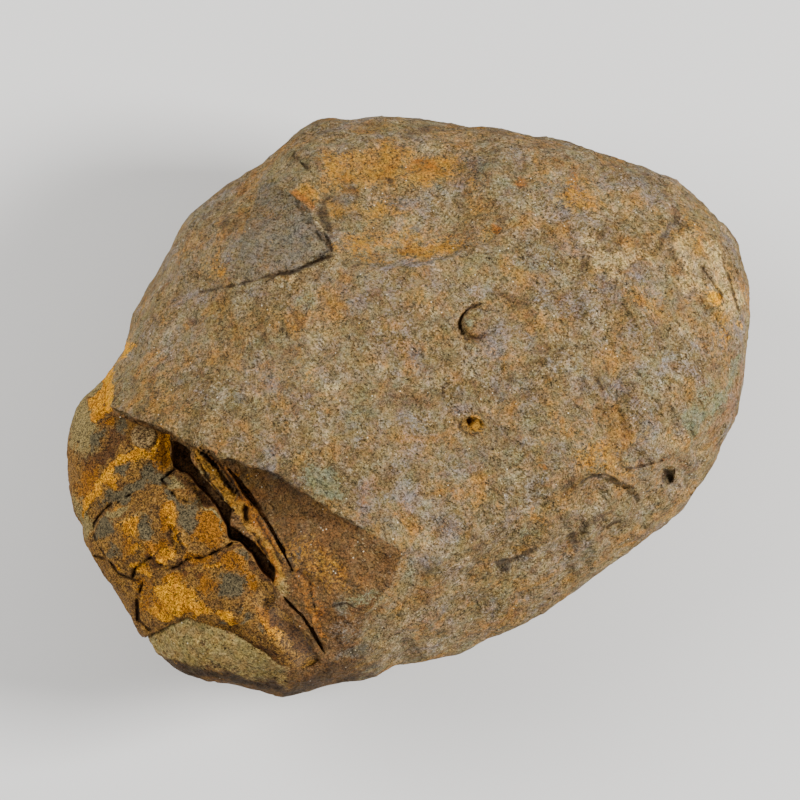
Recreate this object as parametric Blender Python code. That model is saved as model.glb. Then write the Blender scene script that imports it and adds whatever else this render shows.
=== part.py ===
"""A fossil trilobite in its stone nodule: a rounded stone whose broken corner shows the head of the animal.

The stone is drawn in its own face frame, in millimetres: x to the right and y up across the show face,
z out of it. It is then tipped back by FACE_TILT, so that it lies on the flat spot of its underside.
"""

import math

import bmesh
import bpy
import numpy as np
from mathutils import Matrix, Vector, noise
from mathutils.bvhtree import BVHTree

MM = 0.001

# How far the show face is tipped back when the stone lies on its foot.
FACE_TILT = math.radians(13)

# The stone's outline as seen square to its show face: degrees round from +x, and millimetres out.
OUTLINE = [
    (0, 35.0), (10, 36.3), (20, 37.9), (30, 38.5), (40, 37.8), (50, 35.2), (60, 33.1), (70, 31.2),
    (80, 29.8), (90, 29.8), (100, 30.4), (110, 31.3), (120, 29.9), (130, 30.3), (140, 30.6), (150, 30.6),
    (160, 30.6), (169, 30.5), (175, 32.3), (181, 34.6), (188, 35.9), (199, 36.2), (209, 35.4), (217, 34.8),
    (225, 36.0), (232, 35.3), (240, 32.9), (247, 31.9), (255, 30.1), (263, 29.1), (268, 28.0), (277, 27.6),
    (288, 26.5), (298, 26.3), (307, 26.2), (316, 26.6), (324, 27.7), (331, 29.2), (337, 31.0), (344, 31.9),
    (352, 33.3),
]
FRONT_HEIGHT = 21.0
BACK_HEIGHT = 20.5
FULLNESS = 2.3

# Flattish facets: outward normal in the face frame, distance from the centre, and how softly they cut.
FACETS = [
    ((0.00, 0.16, 0.99), 19.4, 3.2),
    ((0.42, -0.66, 0.62), 23.2, 2.0),
    ((-0.62, 0.52, 0.58), 26.4, 2.6),
    ((0.00, -0.225, -0.974), 18.2, 1.2),
    ((0.30, 0.70, -0.64), 27.0, 2.0),
    ((0.75, -0.05, -0.66), 27.5, 1.5),
]
LUMPS = [(19.0, 0.9), (8.0, 0.6), (3.6, 0.28)]
FOOT_CUT = 0.5

# Marks on the show face, as x, y in its frame.
BASIN = ((-0.9, 21.0), (10.5, 6.3), 1.6)
SCAR = [
    (-15.5, 23.0), (-12.4, 22.0), (-11.0, 20.8), (-9.7, 18.9), (-9.1, 17.8), (-8.3, 16.5), (-8.2, 15.5),
    (-10.0, 14.8), (-12.1, 13.9), (-15.0, 13.4), (-17.9, 12.6), (-19.9, 12.4), (-22.0, 11.9),
    (-20.5, 16.0), (-18.0, 20.0),
]
SCAR_DEPTH = 0.8
NOTCH = [(18.0, -8.1), (20.0, -7.4), (23.3, -8.9), (25.0, -11.0), (21.0, -12.0), (18.0, -10.5)]
NOTCH_DEPTH = 0.8
CREASE = [(28.3, 19.2), (26.9, 17.9), (26.3, 16.5), (27.9, 14.5)]
BLISTER = ((6.5, 8.7), 1.1, 0.6)
PITS = [
    ((6.2, -2.2), 1.1, 0.7), ((26.9, -7.4), 1.1, 1.0), ((-17.0, 0.5), 1.0, 0.35), ((10.3, -5.0), 0.6, 0.5),
]

# The broken corner. Its upper side is the ledge.
BREAK_EDGE = [
    (-52.0, 6.0), (-30.2, 6.2), (-31.0, 3.6), (-31.6, 1.0), (-31.5, -0.3), (-29.2, -1.2), (-25.0, -2.9),
    (-22.2, -4.5), (-19.7, -5.7), (-17.3, -6.2), (-14.9, -7.0), (-11.3, -8.9), (-7.7, -11.5), (-5.2, -12.9),
    (-2.9, -13.9), (-0.5, -15.6), (-1.8, -19.0), (-4.5, -22.0), (-5.5, -26.5), (-3.5, -36.0), (-52.0, -36.0),
]
BREAK_SHARE = 0.28
LEDGE_START = (-25.0, -2.9)
LEDGE_ALONG = (0.888, -0.459)
LEDGE_OUT = (-0.459, -0.888)
LEDGE_FADES = (8.0, 27.0)

# The wide gap behind the head, and the narrow ones beside the rib and under the head.
GAP = [
    (-25.0, -2.6), (-24.9, -6.8), (-23.4, -7.2), (-21.4, -9.6), (-19.8, -11.8), (-18.8, -14.2),
    (-17.6, -14.6), (-16.2, -16.4), (-14.4, -18.8), (-13.9, -20.6), (-13.6, -18.5), (-13.7, -16.9),
    (-15.6, -14.6), (-16.8, -13.7), (-18.3, -12.3), (-18.1, -10.9), (-19.2, -9.6), (-21.2, -7.7),
    (-22.3, -5.8), (-22.7, -4.3),
]
GAP_DEPTH = 7.5
SLOTS = [
    ([(-19.4, -6.6), (-18.0, -7.8), (-16.6, -9.0), (-15.4, -11.0), (-13.9, -13.6), (-12.1, -17.6)], 0.4, 2.6),
    ([(-13.6, -19.6), (-12.4, -20.9), (-11.2, -22.0), (-10.0, -23.7), (-8.7, -26.0)], 0.35, 1.8),
]

# The fossil head: its edge across the stone, then how it shrinks as it goes down round the end.
HEAD_EDGE = [
    (-24.9, -3.3), (-24.8, -6.8), (-23.3, -7.2), (-21.3, -9.6), (-19.7, -11.8), (-18.7, -14.2),
    (-17.5, -14.6), (-16.1, -16.4), (-14.3, -18.8), (-13.8, -20.8), (-12.4, -22.3), (-10.9, -24.0),
    (-9.3, -27.0), (-11.5, -28.0), (-14.2, -26.7), (-15.4, -25.8), (-18.5, -24.1), (-21.4, -22.9),
    (-23.0, -22.3), (-25.6, -23.5), (-29.0, -25.2), (-44.0, -31.0), (-48.0, -12.0), (-44.0, 7.0),
    (-31.4, 5.4), (-31.9, 3.2), (-32.2, 0.9), (-31.9, -0.6), (-29.4, -1.7),
]
HEAD_ANCHOR = (-42.0, -11.0)
HEAD_RINGS = [(26.0, 1.0), (1.5, 1.0), (-3.0, 0.93), (-6.5, 0.80), (-9.0, 0.60), (-10.5, 0.36)]
HEAD_STANDS_OUT = 0.45
SEAM = 0.5

# The head's own frame lies over the face frame: across the head, then out through its brow.
HEAD_ORIGIN = (-20.3, -12.1)
ACROSS = (0.572, -0.820)
OUTWARD = (-0.820, -0.572)
EYE = ((-27.8, -3.4), 1.15, 0.75)
FURROWS = [
    ([(-24.9, -8.7), (-26.0, -8.2), (-27.6, -8.4), (-30.4, -9.6), (-33.0, -10.6)], 0.45, 0.55),
    ([(-18.9, -14.6), (-20.9, -15.9), (-22.8, -16.0), (-24.6, -17.0), (-25.9, -16.8), (-27.5, -16.2),
      (-29.0, -17.8), (-29.2, -20.6), (-27.8, -23.6)], 0.45, 0.7),
    ([(-29.0, -17.8), (-31.2, -17.4), (-33.2, -15.8)], 0.4, 0.5),
    ([(-25.9, -11.6), (-25.2, -14.9)], 0.5, 0.35),
    ([(-24.2, -11.4), (-23.8, -14.0)], 0.4, 0.25),
]
RIB_SPACING = 2.4
RIB_HEIGHT = 0.35


def smoothstep(low, high, value):
    t = np.clip((value - low) / (high - low), 0, 1)
    return t * t * (3 - 2 * t)


def height_over_middle(points):
    """Height over the stone's middle level, which lies flat when the show face is tipped back."""
    return points[:, 2] + math.tan(FACE_TILT) * points[:, 1]


def outline_radius(degrees):
    """Catmull-Rom through OUTLINE, which closes on itself."""
    angles = np.array([a for a, _ in OUTLINE], float)
    radii = np.array([r for _, r in OUTLINE], float)
    angles = np.concatenate([angles[-2:] - 360, angles, angles[:3] + 360])
    radii = np.concatenate([radii[-2:], radii, radii[:3]])
    i = np.searchsorted(angles, degrees % 360, side="right") - 1
    t = (degrees % 360 - angles[i]) / (angles[i + 1] - angles[i])
    a, b, c, d = (radii[i + k] for k in (-1, 0, 1, 2))
    return b + 0.5 * t * (c - a + t * (2 * a - 5 * b + 4 * c - d + t * (3 * (b - c) + d - a)))


def edge_distance(points, corners):
    """Distance in the face plane to a closed outline, negative inside it."""
    nearest = np.full(len(points), np.inf)
    inside = np.zeros(len(points), bool)
    for a, b in zip(corners, corners[1:] + corners[:1]):
        a, b = np.array(a), np.array(b)
        along = np.clip(((points - a) @ (b - a)) / ((b - a) @ (b - a)), 0, 1)
        nearest = np.minimum(nearest, np.linalg.norm(points - a - along[:, None] * (b - a), axis=1))
        crosses = (a[1] > points[:, 1]) != (b[1] > points[:, 1])
        slope = (b[0] - a[0]) / (b[1] - a[1]) if b[1] != a[1] else 0.0
        inside ^= crosses & (points[:, 0] < a[0] + (points[:, 1] - a[1]) * slope)
    return np.where(inside, -nearest, nearest)


def path_distance(points, path):
    nearest = np.full(len(points), np.inf)
    for a, b in zip(path, path[1:]):
        a, b = np.array(a), np.array(b)
        along = np.clip(((points - a) @ (b - a)) / ((b - a) @ (b - a)), 0, 1)
        nearest = np.minimum(nearest, np.linalg.norm(points - a - along[:, None] * (b - a), axis=1))
    return nearest


def face_relief(flat):
    """Height of the marks on the show face."""
    (x, y), (wide, high), depth = BASIN
    reach = np.hypot((flat[:, 0] - x) / wide, (flat[:, 1] - y) / high)
    relief = -depth * smoothstep(1.1, 0.65, reach)
    relief -= SCAR_DEPTH * smoothstep(0.15, -0.35, edge_distance(flat, SCAR))
    relief -= NOTCH_DEPTH * smoothstep(0.2, -1.2, edge_distance(flat, NOTCH))
    relief -= 0.6 * smoothstep(0.9, 0.1, path_distance(flat, CREASE))
    (x, y), radius, height = BLISTER
    relief += height * smoothstep(1.1, 0.3, np.hypot(flat[:, 0] - x, flat[:, 1] - y) / radius)
    for (x, y), radius, depth in PITS:
        relief -= depth * smoothstep(1.1, 0.3, np.hypot(flat[:, 0] - x, flat[:, 1] - y) / radius)
    return relief


def stone_form(directions):
    """Points of the whole stone, before its corner broke off."""
    angle = np.degrees(np.arctan2(directions[:, 1], directions[:, 0]))
    flat = np.hypot(directions[:, 0], directions[:, 1])
    reach = outline_radius(angle) * flat ** (2 / FULLNESS)
    height = np.where(directions[:, 2] > 0, FRONT_HEIGHT, BACK_HEIGHT)
    lift = np.sign(directions[:, 2]) * np.abs(directions[:, 2]) ** (2 / FULLNESS) * height
    points = np.column_stack([reach * np.cos(np.radians(angle)), reach * np.sin(np.radians(angle)), lift])
    points[:, 2] -= math.tan(FACE_TILT) * points[:, 1]
    for normal, distance, softness in FACETS:
        normal = np.array(normal) / np.linalg.norm(normal)
        over = (points @ normal - distance) / softness
        points -= np.outer(softness * np.logaddexp(0, over), normal)
    for size, height in LUMPS:
        swell = np.array([noise.noise(Vector(p / size)) for p in points])
        points += directions * (height * swell)[:, None]
    points[:, 2] += smoothstep(1.0, 6.0, height_over_middle(points)) * face_relief(points[:, :2])
    return points


def broken_form(directions):
    """The same stone with its corner lowered to the level of the fossil."""
    points = stone_form(directions)
    offset = points[:, :2] - np.array(LEDGE_START)
    along = offset @ np.array(LEDGE_ALONG)
    out = offset @ np.array(LEDGE_OUT)
    fade = 1 - smoothstep(*LEDGE_FADES, along)
    hollow = 0.9 * np.exp(-((out - 1.5) / 3.0) ** 2) * smoothstep(0.0, 6.0, along)
    height = np.maximum(height_over_middle(points), 0)
    points[:, 2] -= (BREAK_SHARE * height + hollow) * fade - 0.4 * (1 - fade)
    return points


def fossil_form(directions):
    """The broken surface again, standing out a little and carrying the head's relief."""
    points = broken_form(directions)
    flat = points[:, :2]
    offset = flat - np.array(HEAD_ORIGIN)
    across = offset @ np.array(ACROSS)
    outward = offset @ np.array(OUTWARD)
    height = height_over_middle(points)
    relief = HEAD_STANDS_OUT * smoothstep(0.0, 1.6, -edge_distance(flat, HEAD_EDGE))
    relief += 0.5 * smoothstep(9.0, 5.5, np.abs(across - 1.7))
    relief -= 0.35 * np.exp(-((np.abs(across - 1.7) - 9.3) / 0.9) ** 2)
    relief -= 0.35 * np.exp(-((outward - 9.6) / 0.8) ** 2) * smoothstep(-1.0, 1.0, height)
    (x, y), radius, dome = EYE
    spread = np.hypot(flat[:, 0] - x, flat[:, 1] - y)
    relief += 0.45 * smoothstep(3.4, 1.5, spread)
    relief += dome * np.sqrt(np.clip(1 - (spread / radius) ** 2, 0, 1))
    for path, half_width, depth in FURROWS:
        relief -= depth * smoothstep(1.5 * half_width, 0.2 * half_width, path_distance(flat, path))
    ribs = np.abs(np.sin(np.pi * height / RIB_SPACING)) - 0.5
    relief += RIB_HEIGHT * ribs * smoothstep(-0.5, -2.5, height)
    steep = height / 14.0 ** 2
    across_stone = points[:, 1] / 30.0 ** 2 + math.tan(FACE_TILT) * steep
    normals = np.column_stack([points[:, 0] / 36.0 ** 2, across_stone, steep])
    normals /= np.linalg.norm(normals, axis=1)[:, None]
    return points + normals * relief[:, None]


def place(points):
    """Face frame in millimetres to world in metres, before the stone is set on its foot."""
    return np.asarray(points) @ np.array(Matrix.Rotation(FACE_TILT, 3, "X")).T * MM


def new_object(name, bm, collection):
    mesh = bpy.data.meshes.new(name)
    bm.to_mesh(mesh)
    bm.free()
    obj = bpy.data.objects.new(name, mesh)
    collection.objects.link(obj)
    return obj


def new_cutter(name, bm, collection):
    cutter = new_object(name, bm, collection)
    cutter.display_type = "WIRE"
    cutter.hide_render = True
    return cutter


def new_ball(form, near_corner, refinements):
    """A ball of triangles shaped by form, finer round the broken corner."""
    corner = Vector((-0.72, -0.55, 0.42)).normalized()
    bm = bmesh.new()
    bmesh.ops.create_icosphere(bm, subdivisions=6, radius=1)
    for _ in range(refinements):
        chosen = [e for e in bm.edges if all(v.co.dot(corner) > near_corner for v in e.verts)]
        bmesh.ops.subdivide_edges(bm, edges=chosen, cuts=1)
        bmesh.ops.triangulate(bm, faces=bm.faces)
        for v in bm.verts:
            v.co.normalize()
    directions = np.array([v.co for v in bm.verts])
    for v, p in zip(bm.verts, form(directions)):
        v.co = p
    return bm


def grown_outline(corners, distance):
    """A closed outline moved outwards by distance, whichever way round it runs."""
    points = np.array(corners)
    ahead = np.roll(points, -1, axis=0) - points
    area = np.sum(points[:, 0] * np.roll(points[:, 1], -1) - points[:, 1] * np.roll(points[:, 0], -1))
    out = np.column_stack([ahead[:, 1], -ahead[:, 0]]) * np.sign(area)
    out /= np.linalg.norm(out, axis=1)[:, None]
    bisector = out + np.roll(out, 1, axis=0)
    bisector /= np.maximum((bisector * out).sum(axis=1), 0.8)[:, None]
    return points + bisector * distance


def stack_rings(rings):
    """A closed solid through equal rings of points, given from the top down."""
    bm = bmesh.new()
    loops = [[bm.verts.new(p) for p in ring] for ring in rings]
    bm.faces.new(loops[0])
    bm.faces.new(loops[-1][::-1])
    for upper, lower in zip(loops, loops[1:]):
        for i in range(len(upper)):
            j = (i + 1) % len(upper)
            bm.faces.new([upper[j], upper[i], lower[i], lower[j]])
    bmesh.ops.triangulate(bm, faces=bm.faces)
    bmesh.ops.recalc_face_normals(bm, faces=bm.faces)
    return bm


def head_block(growth):
    """The block of stone the fossil head fills, closing in as it goes down round the end."""
    edge = grown_outline(HEAD_EDGE, growth)
    anchor = np.array(HEAD_ANCHOR)
    rings = []
    for level, scale in HEAD_RINGS:
        ring = anchor + (edge - anchor) * scale
        level = level - growth if level < 2 else level
        rings.append(np.column_stack([ring, level - math.tan(FACE_TILT) * ring[:, 1]]))
    return stack_rings(rings)


def strip_outline(path, half_width):
    """A sliver round a path, pointed at both ends."""
    points = np.array(path)
    ahead = np.gradient(points, axis=0)
    side = np.column_stack([-ahead[:, 1], ahead[:, 0]]) / np.linalg.norm(ahead, axis=1)[:, None]
    width = half_width * np.array([0.25] + [1.0] * (len(path) - 2) + [0.25])
    left = points + side * width[:, None]
    right = points - side * width[:, None]
    return np.concatenate([left, right[::-1]])


def sunk_block(outline, ground, depth):
    """A block over an outline, its floor lying depth below the ground."""
    outline = np.array(outline)
    middle = outline.mean(axis=0)
    floor = []
    for x, y in middle + (outline - middle) * 0.97:
        hit = ground.ray_cast(Vector((x, y, 60)), Vector((0, 0, -1)))[0]
        floor.append((x, y, (hit.z if hit else 0) - depth))
    top = np.column_stack([outline, np.full(len(outline), 26.0)])
    return stack_rings([top, np.array(floor)])


def thin_out(obj, ratio):
    thin = obj.modifiers.new("Thin out", "DECIMATE")
    thin.ratio = ratio


def combine(obj, other, operation, name):
    step = obj.modifiers.new(name, "BOOLEAN")
    step.solver = "EXACT"
    step.operation = operation
    step.object = other


def colour(obj, name, rgb, roughness):
    material = bpy.data.materials.new(name)
    material.use_nodes = True
    shader = material.node_tree.nodes["Principled BSDF"]
    shader.inputs["Base Color"].default_value = (*rgb, 1)
    shader.inputs["Roughness"].default_value = roughness
    obj.data.materials.append(material)


def lowest_points(objects):
    """World corners of what the modifiers leave of the objects."""
    graph = bpy.context.evaluated_depsgraph_get()
    points = []
    for obj in objects:
        points += [v.co[:] for v in obj.evaluated_get(graph).data.vertices]
    points = np.array(points)
    return points.min(axis=0), points.max(axis=0)


def main():
    for obj in list(bpy.data.objects):
        bpy.data.objects.remove(obj)
    parts = bpy.data.collections.new("Fossil trilobite")
    cutters = bpy.data.collections.new("Cutters")
    bpy.context.scene.collection.children.link(parts)
    bpy.context.scene.collection.children.link(cutters)

    lowered = new_ball(broken_form, 0.78, 1)
    ground = BVHTree.FromBMesh(lowered)

    nodule = new_object("nodule", new_ball(stone_form, 2, 0), parts)
    thin_out(nodule, 0.25)
    broken = new_cutter("broken level", lowered, cutters)
    thin_out(broken, 0.22)
    corner = np.array(BREAK_EDGE)
    slope = math.tan(FACE_TILT) * corner[:, 1]
    rings = [np.column_stack([corner, level - slope]) for level in (26.0, 0.8)]
    missing = new_cutter("missing corner", stack_rings(rings), cutters)
    combine(missing, broken, "DIFFERENCE", "Down to the broken level")
    combine(nodule, missing, "DIFFERENCE", "Break the corner")
    pocket = new_cutter("pocket", head_block(SEAM), cutters)
    combine(nodule, pocket, "DIFFERENCE", "Fossil's pocket")
    gap = new_cutter("wide gap", sunk_block(GAP, ground, GAP_DEPTH), cutters)
    combine(nodule, gap, "DIFFERENCE", "Wide gap")
    for number, (path, half_width, depth) in enumerate(SLOTS, 1):
        block = sunk_block(strip_outline(path, half_width), ground, depth)
        slot = new_cutter(f"slot {number}", block, cutters)
        combine(nodule, slot, "DIFFERENCE", f"Slot {number}")

    trilobite = new_object("trilobite", new_ball(fossil_form, 0.74, 1), parts)
    thin_out(trilobite, 0.42)
    head = new_cutter("head block", head_block(0), cutters)
    combine(trilobite, head, "INTERSECT", "Keep the head")

    everything = list(parts.objects) + list(cutters.objects)
    for obj in everything:
        obj.data.transform(Matrix.Rotation(FACE_TILT, 4, "X") @ Matrix.Scale(MM, 4))
    low, high = lowest_points([nodule])
    foot = bmesh.new()
    bmesh.ops.create_cube(foot, size=0.2)
    bmesh.ops.translate(foot, verts=foot.verts, vec=(0, 0, low[2] + FOOT_CUT * MM - 0.1))
    under = new_cutter("under the foot", foot, cutters)
    combine(nodule, under, "DIFFERENCE", "Flat foot")
    low, high = lowest_points([nodule, trilobite])
    shift = Matrix.Translation((-(low[0] + high[0]) / 2, -(low[1] + high[1]) / 2, -low[2]))
    for obj in everything + [under]:
        obj.data.transform(shift)
    print("face frame origin", [round(v / MM, 3) for v in shift.translation])

    colour(nodule, "Sandstone", (0.32, 0.21, 0.095), 0.9)
    colour(trilobite, "Iron-stained fossil", (0.20, 0.11, 0.035), 0.8)


main()
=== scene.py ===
import math

import bmesh
import bpy
import numpy as np
from mathutils import Matrix, Vector, noise
from mathutils.bvhtree import BVHTree


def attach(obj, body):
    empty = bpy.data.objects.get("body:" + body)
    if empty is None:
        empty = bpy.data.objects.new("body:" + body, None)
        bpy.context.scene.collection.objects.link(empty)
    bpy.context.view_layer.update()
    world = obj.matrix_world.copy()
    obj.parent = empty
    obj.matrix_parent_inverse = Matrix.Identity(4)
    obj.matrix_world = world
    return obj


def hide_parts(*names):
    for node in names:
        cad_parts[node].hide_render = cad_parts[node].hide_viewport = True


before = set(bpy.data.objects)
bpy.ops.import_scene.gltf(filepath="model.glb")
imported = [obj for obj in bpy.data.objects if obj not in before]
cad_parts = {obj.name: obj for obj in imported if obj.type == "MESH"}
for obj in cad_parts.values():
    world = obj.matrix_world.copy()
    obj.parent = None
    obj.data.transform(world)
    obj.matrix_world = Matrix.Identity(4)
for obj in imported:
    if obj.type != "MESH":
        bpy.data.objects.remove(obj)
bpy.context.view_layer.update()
print("stage: frame loaded")

mm = 0.001
noise.seed_set(5)  # the same ragged edges and stains every time

# All shapes are drawn in the stone's face frame, in millimetres: x right and y up across the show face,
# z out of it. The stone then lies tipped back by tilt, with the frame's origin at faceOrigin.
stone = {
    "tilt": math.radians(13),
    "faceOrigin": (0.236, -0.029, 17.959),
    "frontHeight": 21,
    "backHeight": 20.5,
    "fullness": 2.3,
    "voxel": 0.26,
    "triangles": 62000,
    # angle in degrees and radius
    "outline": [
        (0, 35.2), (10, 36.4), (20, 38.3), (30, 39), (40, 38.2), (50, 35.7), (60, 33.6), (70, 31.6),
        (80, 29.8), (90, 30), (100, 30.5), (110, 31.5), (120, 30.3), (130, 30.7), (140, 31), (150, 30.7),
        (160, 30.6), (169, 30.5), (175, 32.3), (181, 34.6), (188, 35.9), (199, 36.2), (209, 35.4),
        (217, 34.8), (225, 36), (232, 35.3), (240, 32.9), (247, 31.9), (255, 30.1), (263, 29.1),
        (268, 27.8), (277, 27.5), (288, 26.5), (298, 26.4), (307, 26.4), (316, 27.1), (324, 28.2),
        (331, 29.7), (337, 31.4), (344, 32.2), (352, 33.5),
    ],
    # normal, distance and softness of each flat that the ball is worn to
    "facets": [
        ((0, 0.16, 0.99), 19.4, 3.2), ((0.42, -0.66, 0.62), 23.2, 2), ((-0.62, 0.52, 0.58), 26.4, 2.6),
        ((0, -0.225, -0.974), 18.2, 1.2), ((0.3, 0.7, -0.64), 27, 2), ((0.75, -0.05, -0.66), 27.5, 1.5),
    ],
    # size and height
    "lumps": [(19, 0.9), (8, 0.6), (3.6, 0.32), (1.7, 0.17)],
    # half sizes of the smooth ball that the stone nearly is
    "ball": (36, 30, 14),
    # outlines are ragged within this reach, and cuts start from this height
    "reach": 38,
    "cutTop": 26,
}

faceMarks = {
    # middle, half sizes, depth
    "basin": ((-0.9, 21), (10.5, 6.3), 1.6),
    "crease": [(28.3, 19.2), (26.9, 17.9), (26.3, 16.5), (27.9, 14.5)],
    "creaseDepth": 0.6,
    # middle, radius, depth
    "pits": [
        ((26.9, -7.4), 1.1, 1), ((-17, 0.5), 1, 0.35), ((10.3, -5), 0.45, 0.6), ((-17, 18), 0.45, 0.5),
        ((-13.2, 3.1), 0.5, 0.3), ((-2, 23.5), 0.6, 0.3), ((-8.3, 21.7), 0.7, 0.35), ((3.4, 24.8), 0.5,
        0.3), ((9.4, -23.6), 0.9, 0.5),
    ],
    # middle, radius, height
    "blister": ((7.2, 8.6), 1.6, 0.85),
    # middle, radius, rim, and the hole in it: middle, radius, depth
    "ringPit": ((6.7, -2.2), 1.3, 0.12, (6.4, -1.75), 0.38, 1.3),
    # flakes lost from the face: corners, step, and where along a line the step has faded and is full
    "flakes": [
        ([(-15.5, 23), (-12.4, 22), (-11, 20.8), (-9.7, 18.9), (-9.1, 17.8), (-8.3, 16.5), (-8.2, 15.5),
         (-10, 14.8), (-12.1, 13.9), (-15, 13.4), (-17.9, 12.6), (-19.9, 12.4), (-24, 11.5), (-24, 20),
         (-18, 22.5)], -0.95, ((-21, 17), (-12, 17))),
        ([(-9.6, 21.5), (-8.7, 16.6), (-6.7, 15), (-3.8, 14.4), (-0.9, 14.5), (2.3, 14.9), (5.4, 16),
         (8.6, 17.3), (11.7, 19.2), (9, 24), (3, 27), (-5, 27.5)], -0.5, ((0, 24), (0, 17))),
        ([(18, -8.1), (20, -7.4), (23.3, -8.9), (25, -11), (21, -13), (18, -11.5)], -1, ((21, -12.5),
         (21, -8.5))),
        ([(26.9, -6.7), (27.9, -7), (27.8, -8.2), (27.2, -8.5), (26.4, -7.8)], -0.8, ((26.4, -7),
         (27.6, -7.9))),
        ([(35.6, 6), (35, 3.4), (33.9, 0.7), (32.3, -2), (29.6, -4.4), (26.9, -6), (24.4, -7.4),
         (21.2, -7.9), (24, -14), (40, -10), (42, 6)], -0.5, ((27, -4), (28.5, -6))),
        ([(27.7, 19), (30.6, 18.5), (33.5, 16.2), (35.3, 11), (35.6, 7.8), (34.3, 6.2), (32.3, 9.1),
         (30.6, 11.4), (28.7, 12.8), (26.8, 15)], 0.38, ((27, 14.5), (28.5, 14.5))),
        ([(9, -17), (11.5, -15.8), (13.5, -15), (18.8, -13.1), (16, -18), (10, -20)], -0.4, ((13, -18.5),
         (13, -16))),
        ([(-11.9, 26.4), (-11.8, 25.4), (-10.6, 24.9), (-9.8, 24.6), (-8, 25.5), (-10, 27.5)], 0.3,
         ((-9, 26), (-10.5, 25.5))),
    ],
    # path, half width, depth
    "cracks": [
        ([(-8.2, 15.6), (-10, 14.9), (-12.1, 13.9), (-15, 13.4)], 0.16, 0.4),
        ([(-15, 13.4), (-17.9, 12.6), (-21.9, 11.8)], 0.09, 0.25),
        ([(-11.9, 26.6), (-12.1, 26.1), (-11.7, 25.8)], 0.1, 0.3),
        ([(-11.1, 25.3), (-10.6, 24.9)], 0.13, 0.4),
        ([(-8.9, 18), (-8.2, 16.8), (-8.1, 16.1)], 0.1, 0.4),
        ([(20.9, -12.9), (21.3, -12.6), (22.1, -12.3)], 0.12, 0.3),
        ([(7.9, -4.5), (8.8, -4.7)], 0.1, 0.3),
        ([(7.6, 10.6), (6.4, 10.2), (5.7, 9.4), (5.4, 8.5), (5.6, 7.5), (6.2, 6.8)], 0.1, 0.3),
        ([(5.4, -2.1), (5.7, -2.7), (6.4, -3.1), (7.1, -3)], 0.11, 0.3),
        ([(4.1, 2.4), (3.6, 1.6), (3.6, 1.1)], 0.07, 0.15),
        ([(26.6, -5.9), (24.5, -6.5), (22.9, -6.9)], 0.1, 0.25),
        ([(30.8, 14.4), (31.8, 12.9), (32.9, 11.5)], 0.1, 0.3),
        ([(33, 15), (33.9, 12.4), (34.6, 10)], 0.1, 0.25),
        ([(-7.9, -21.2), (-6.6, -20.9), (-5, -21.6)], 0.12, 0.25),
        ([(-11.6, -17.5), (-10.4, -18.6), (-9.9, -21.3)], 0.1, 0.25),
    ],
    # depth of the groove round the blister and in the ring, then heights of slanting streaks and chips
    "moat": 0.35,
    "streaks": 0.42,
    "chips": 0.75,
}

breakage = {
    "edge": [
        (-52, 6), (-30.2, 6.2), (-31, 3.6), (-31.6, 1), (-31.5, -0.3), (-29.2, -1.2), (-25, -2.9),
        (-22.2, -4.5), (-19.7, -5.7), (-17.3, -6.2), (-14.9, -7), (-11.3, -8.9), (-7.7, -11.5),
        (-5.2, -12.9), (-2.9, -13.9), (-0.5, -15.6), (-1.8, -19), (-4.5, -22), (-5.5, -26.5), (-3.5, -36),
        (-52, -36),
    ],
    "share": 0.28,
    "ledgeStart": (-25, -2.9),
    "ledgeAlong": (0.888, -0.459),
    "ledgeOut": (-0.459, -0.888),
    "ledgeFades": (8, 27),
    "gap": [
        (-25.3, -2.6), (-25.5, -7.1), (-23.9, -7.6), (-21.9, -10), (-20.3, -12.2), (-19.3, -14.6),
        (-18.1, -15), (-16.7, -16.8), (-14.9, -19.2), (-14.3, -20.9), (-13.6, -18.5), (-13.7, -16.9),
        (-15.6, -14.6), (-16.8, -13.7), (-18.3, -12.3), (-18.1, -10.9), (-19.2, -9.6), (-21.2, -7.7),
        (-22.3, -5.8), (-22.7, -4.3),
    ],
    "gapDepth": 5.5,
    "gapLeaning": 0.5,
    # path, half widths, depth
    "slots": [
        ([(-19, -6.7), (-18.2, -7.6), (-17.1, -9.2), (-15.8, -10.8), (-14.4, -13), (-13.2, -15.3),
         (-12.1, -17.6)], (0.08, 0.24, 0.42, 0.3, 0.18, 0.22, 0.06), 3.2),
        ([(-13.2, -20.1), (-12.3, -21.1), (-11.2, -22.2), (-10.2, -23.6), (-9.3, -25.2), (-8.8, -26.2)],
         (0.05, 0.16, 0.12, 0.16, 0.24, 0.06), 2.2),
    ],
    "ribGrooves": [
        ([(-21.9, -4.6), (-20.9, -5.7), (-20.1, -6.6), (-19, -8.2), (-18.2, -9.3)], 0.13, 0.55),
        ([(-21, -5), (-19.6, -6.5), (-18.4, -8.2), (-17.4, -10)], 0.1, 0.4),
        ([(-22, -5.9), (-21, -7.8), (-19.6, -9.7), (-18.4, -11.2)], 0.1, 0.3),
        ([(-17.1, -11.1), (-17, -12)], 0.28, 0.9),
        ([(-16.4, -13.4), (-15, -15.6), (-14.2, -17.4)], 0.11, 0.3),
        ([(-15.9, -12), (-14.4, -14.6), (-13.2, -17)], 0.09, 0.2),
    ],
    # path, pitch, half width, depth
    "combs": ([(-21.9, -4.6), (-20.1, -6.6), (-18.2, -9.3)], 0.55, 0.28, 0.42),
    "hollow": 0.9,
}

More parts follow.
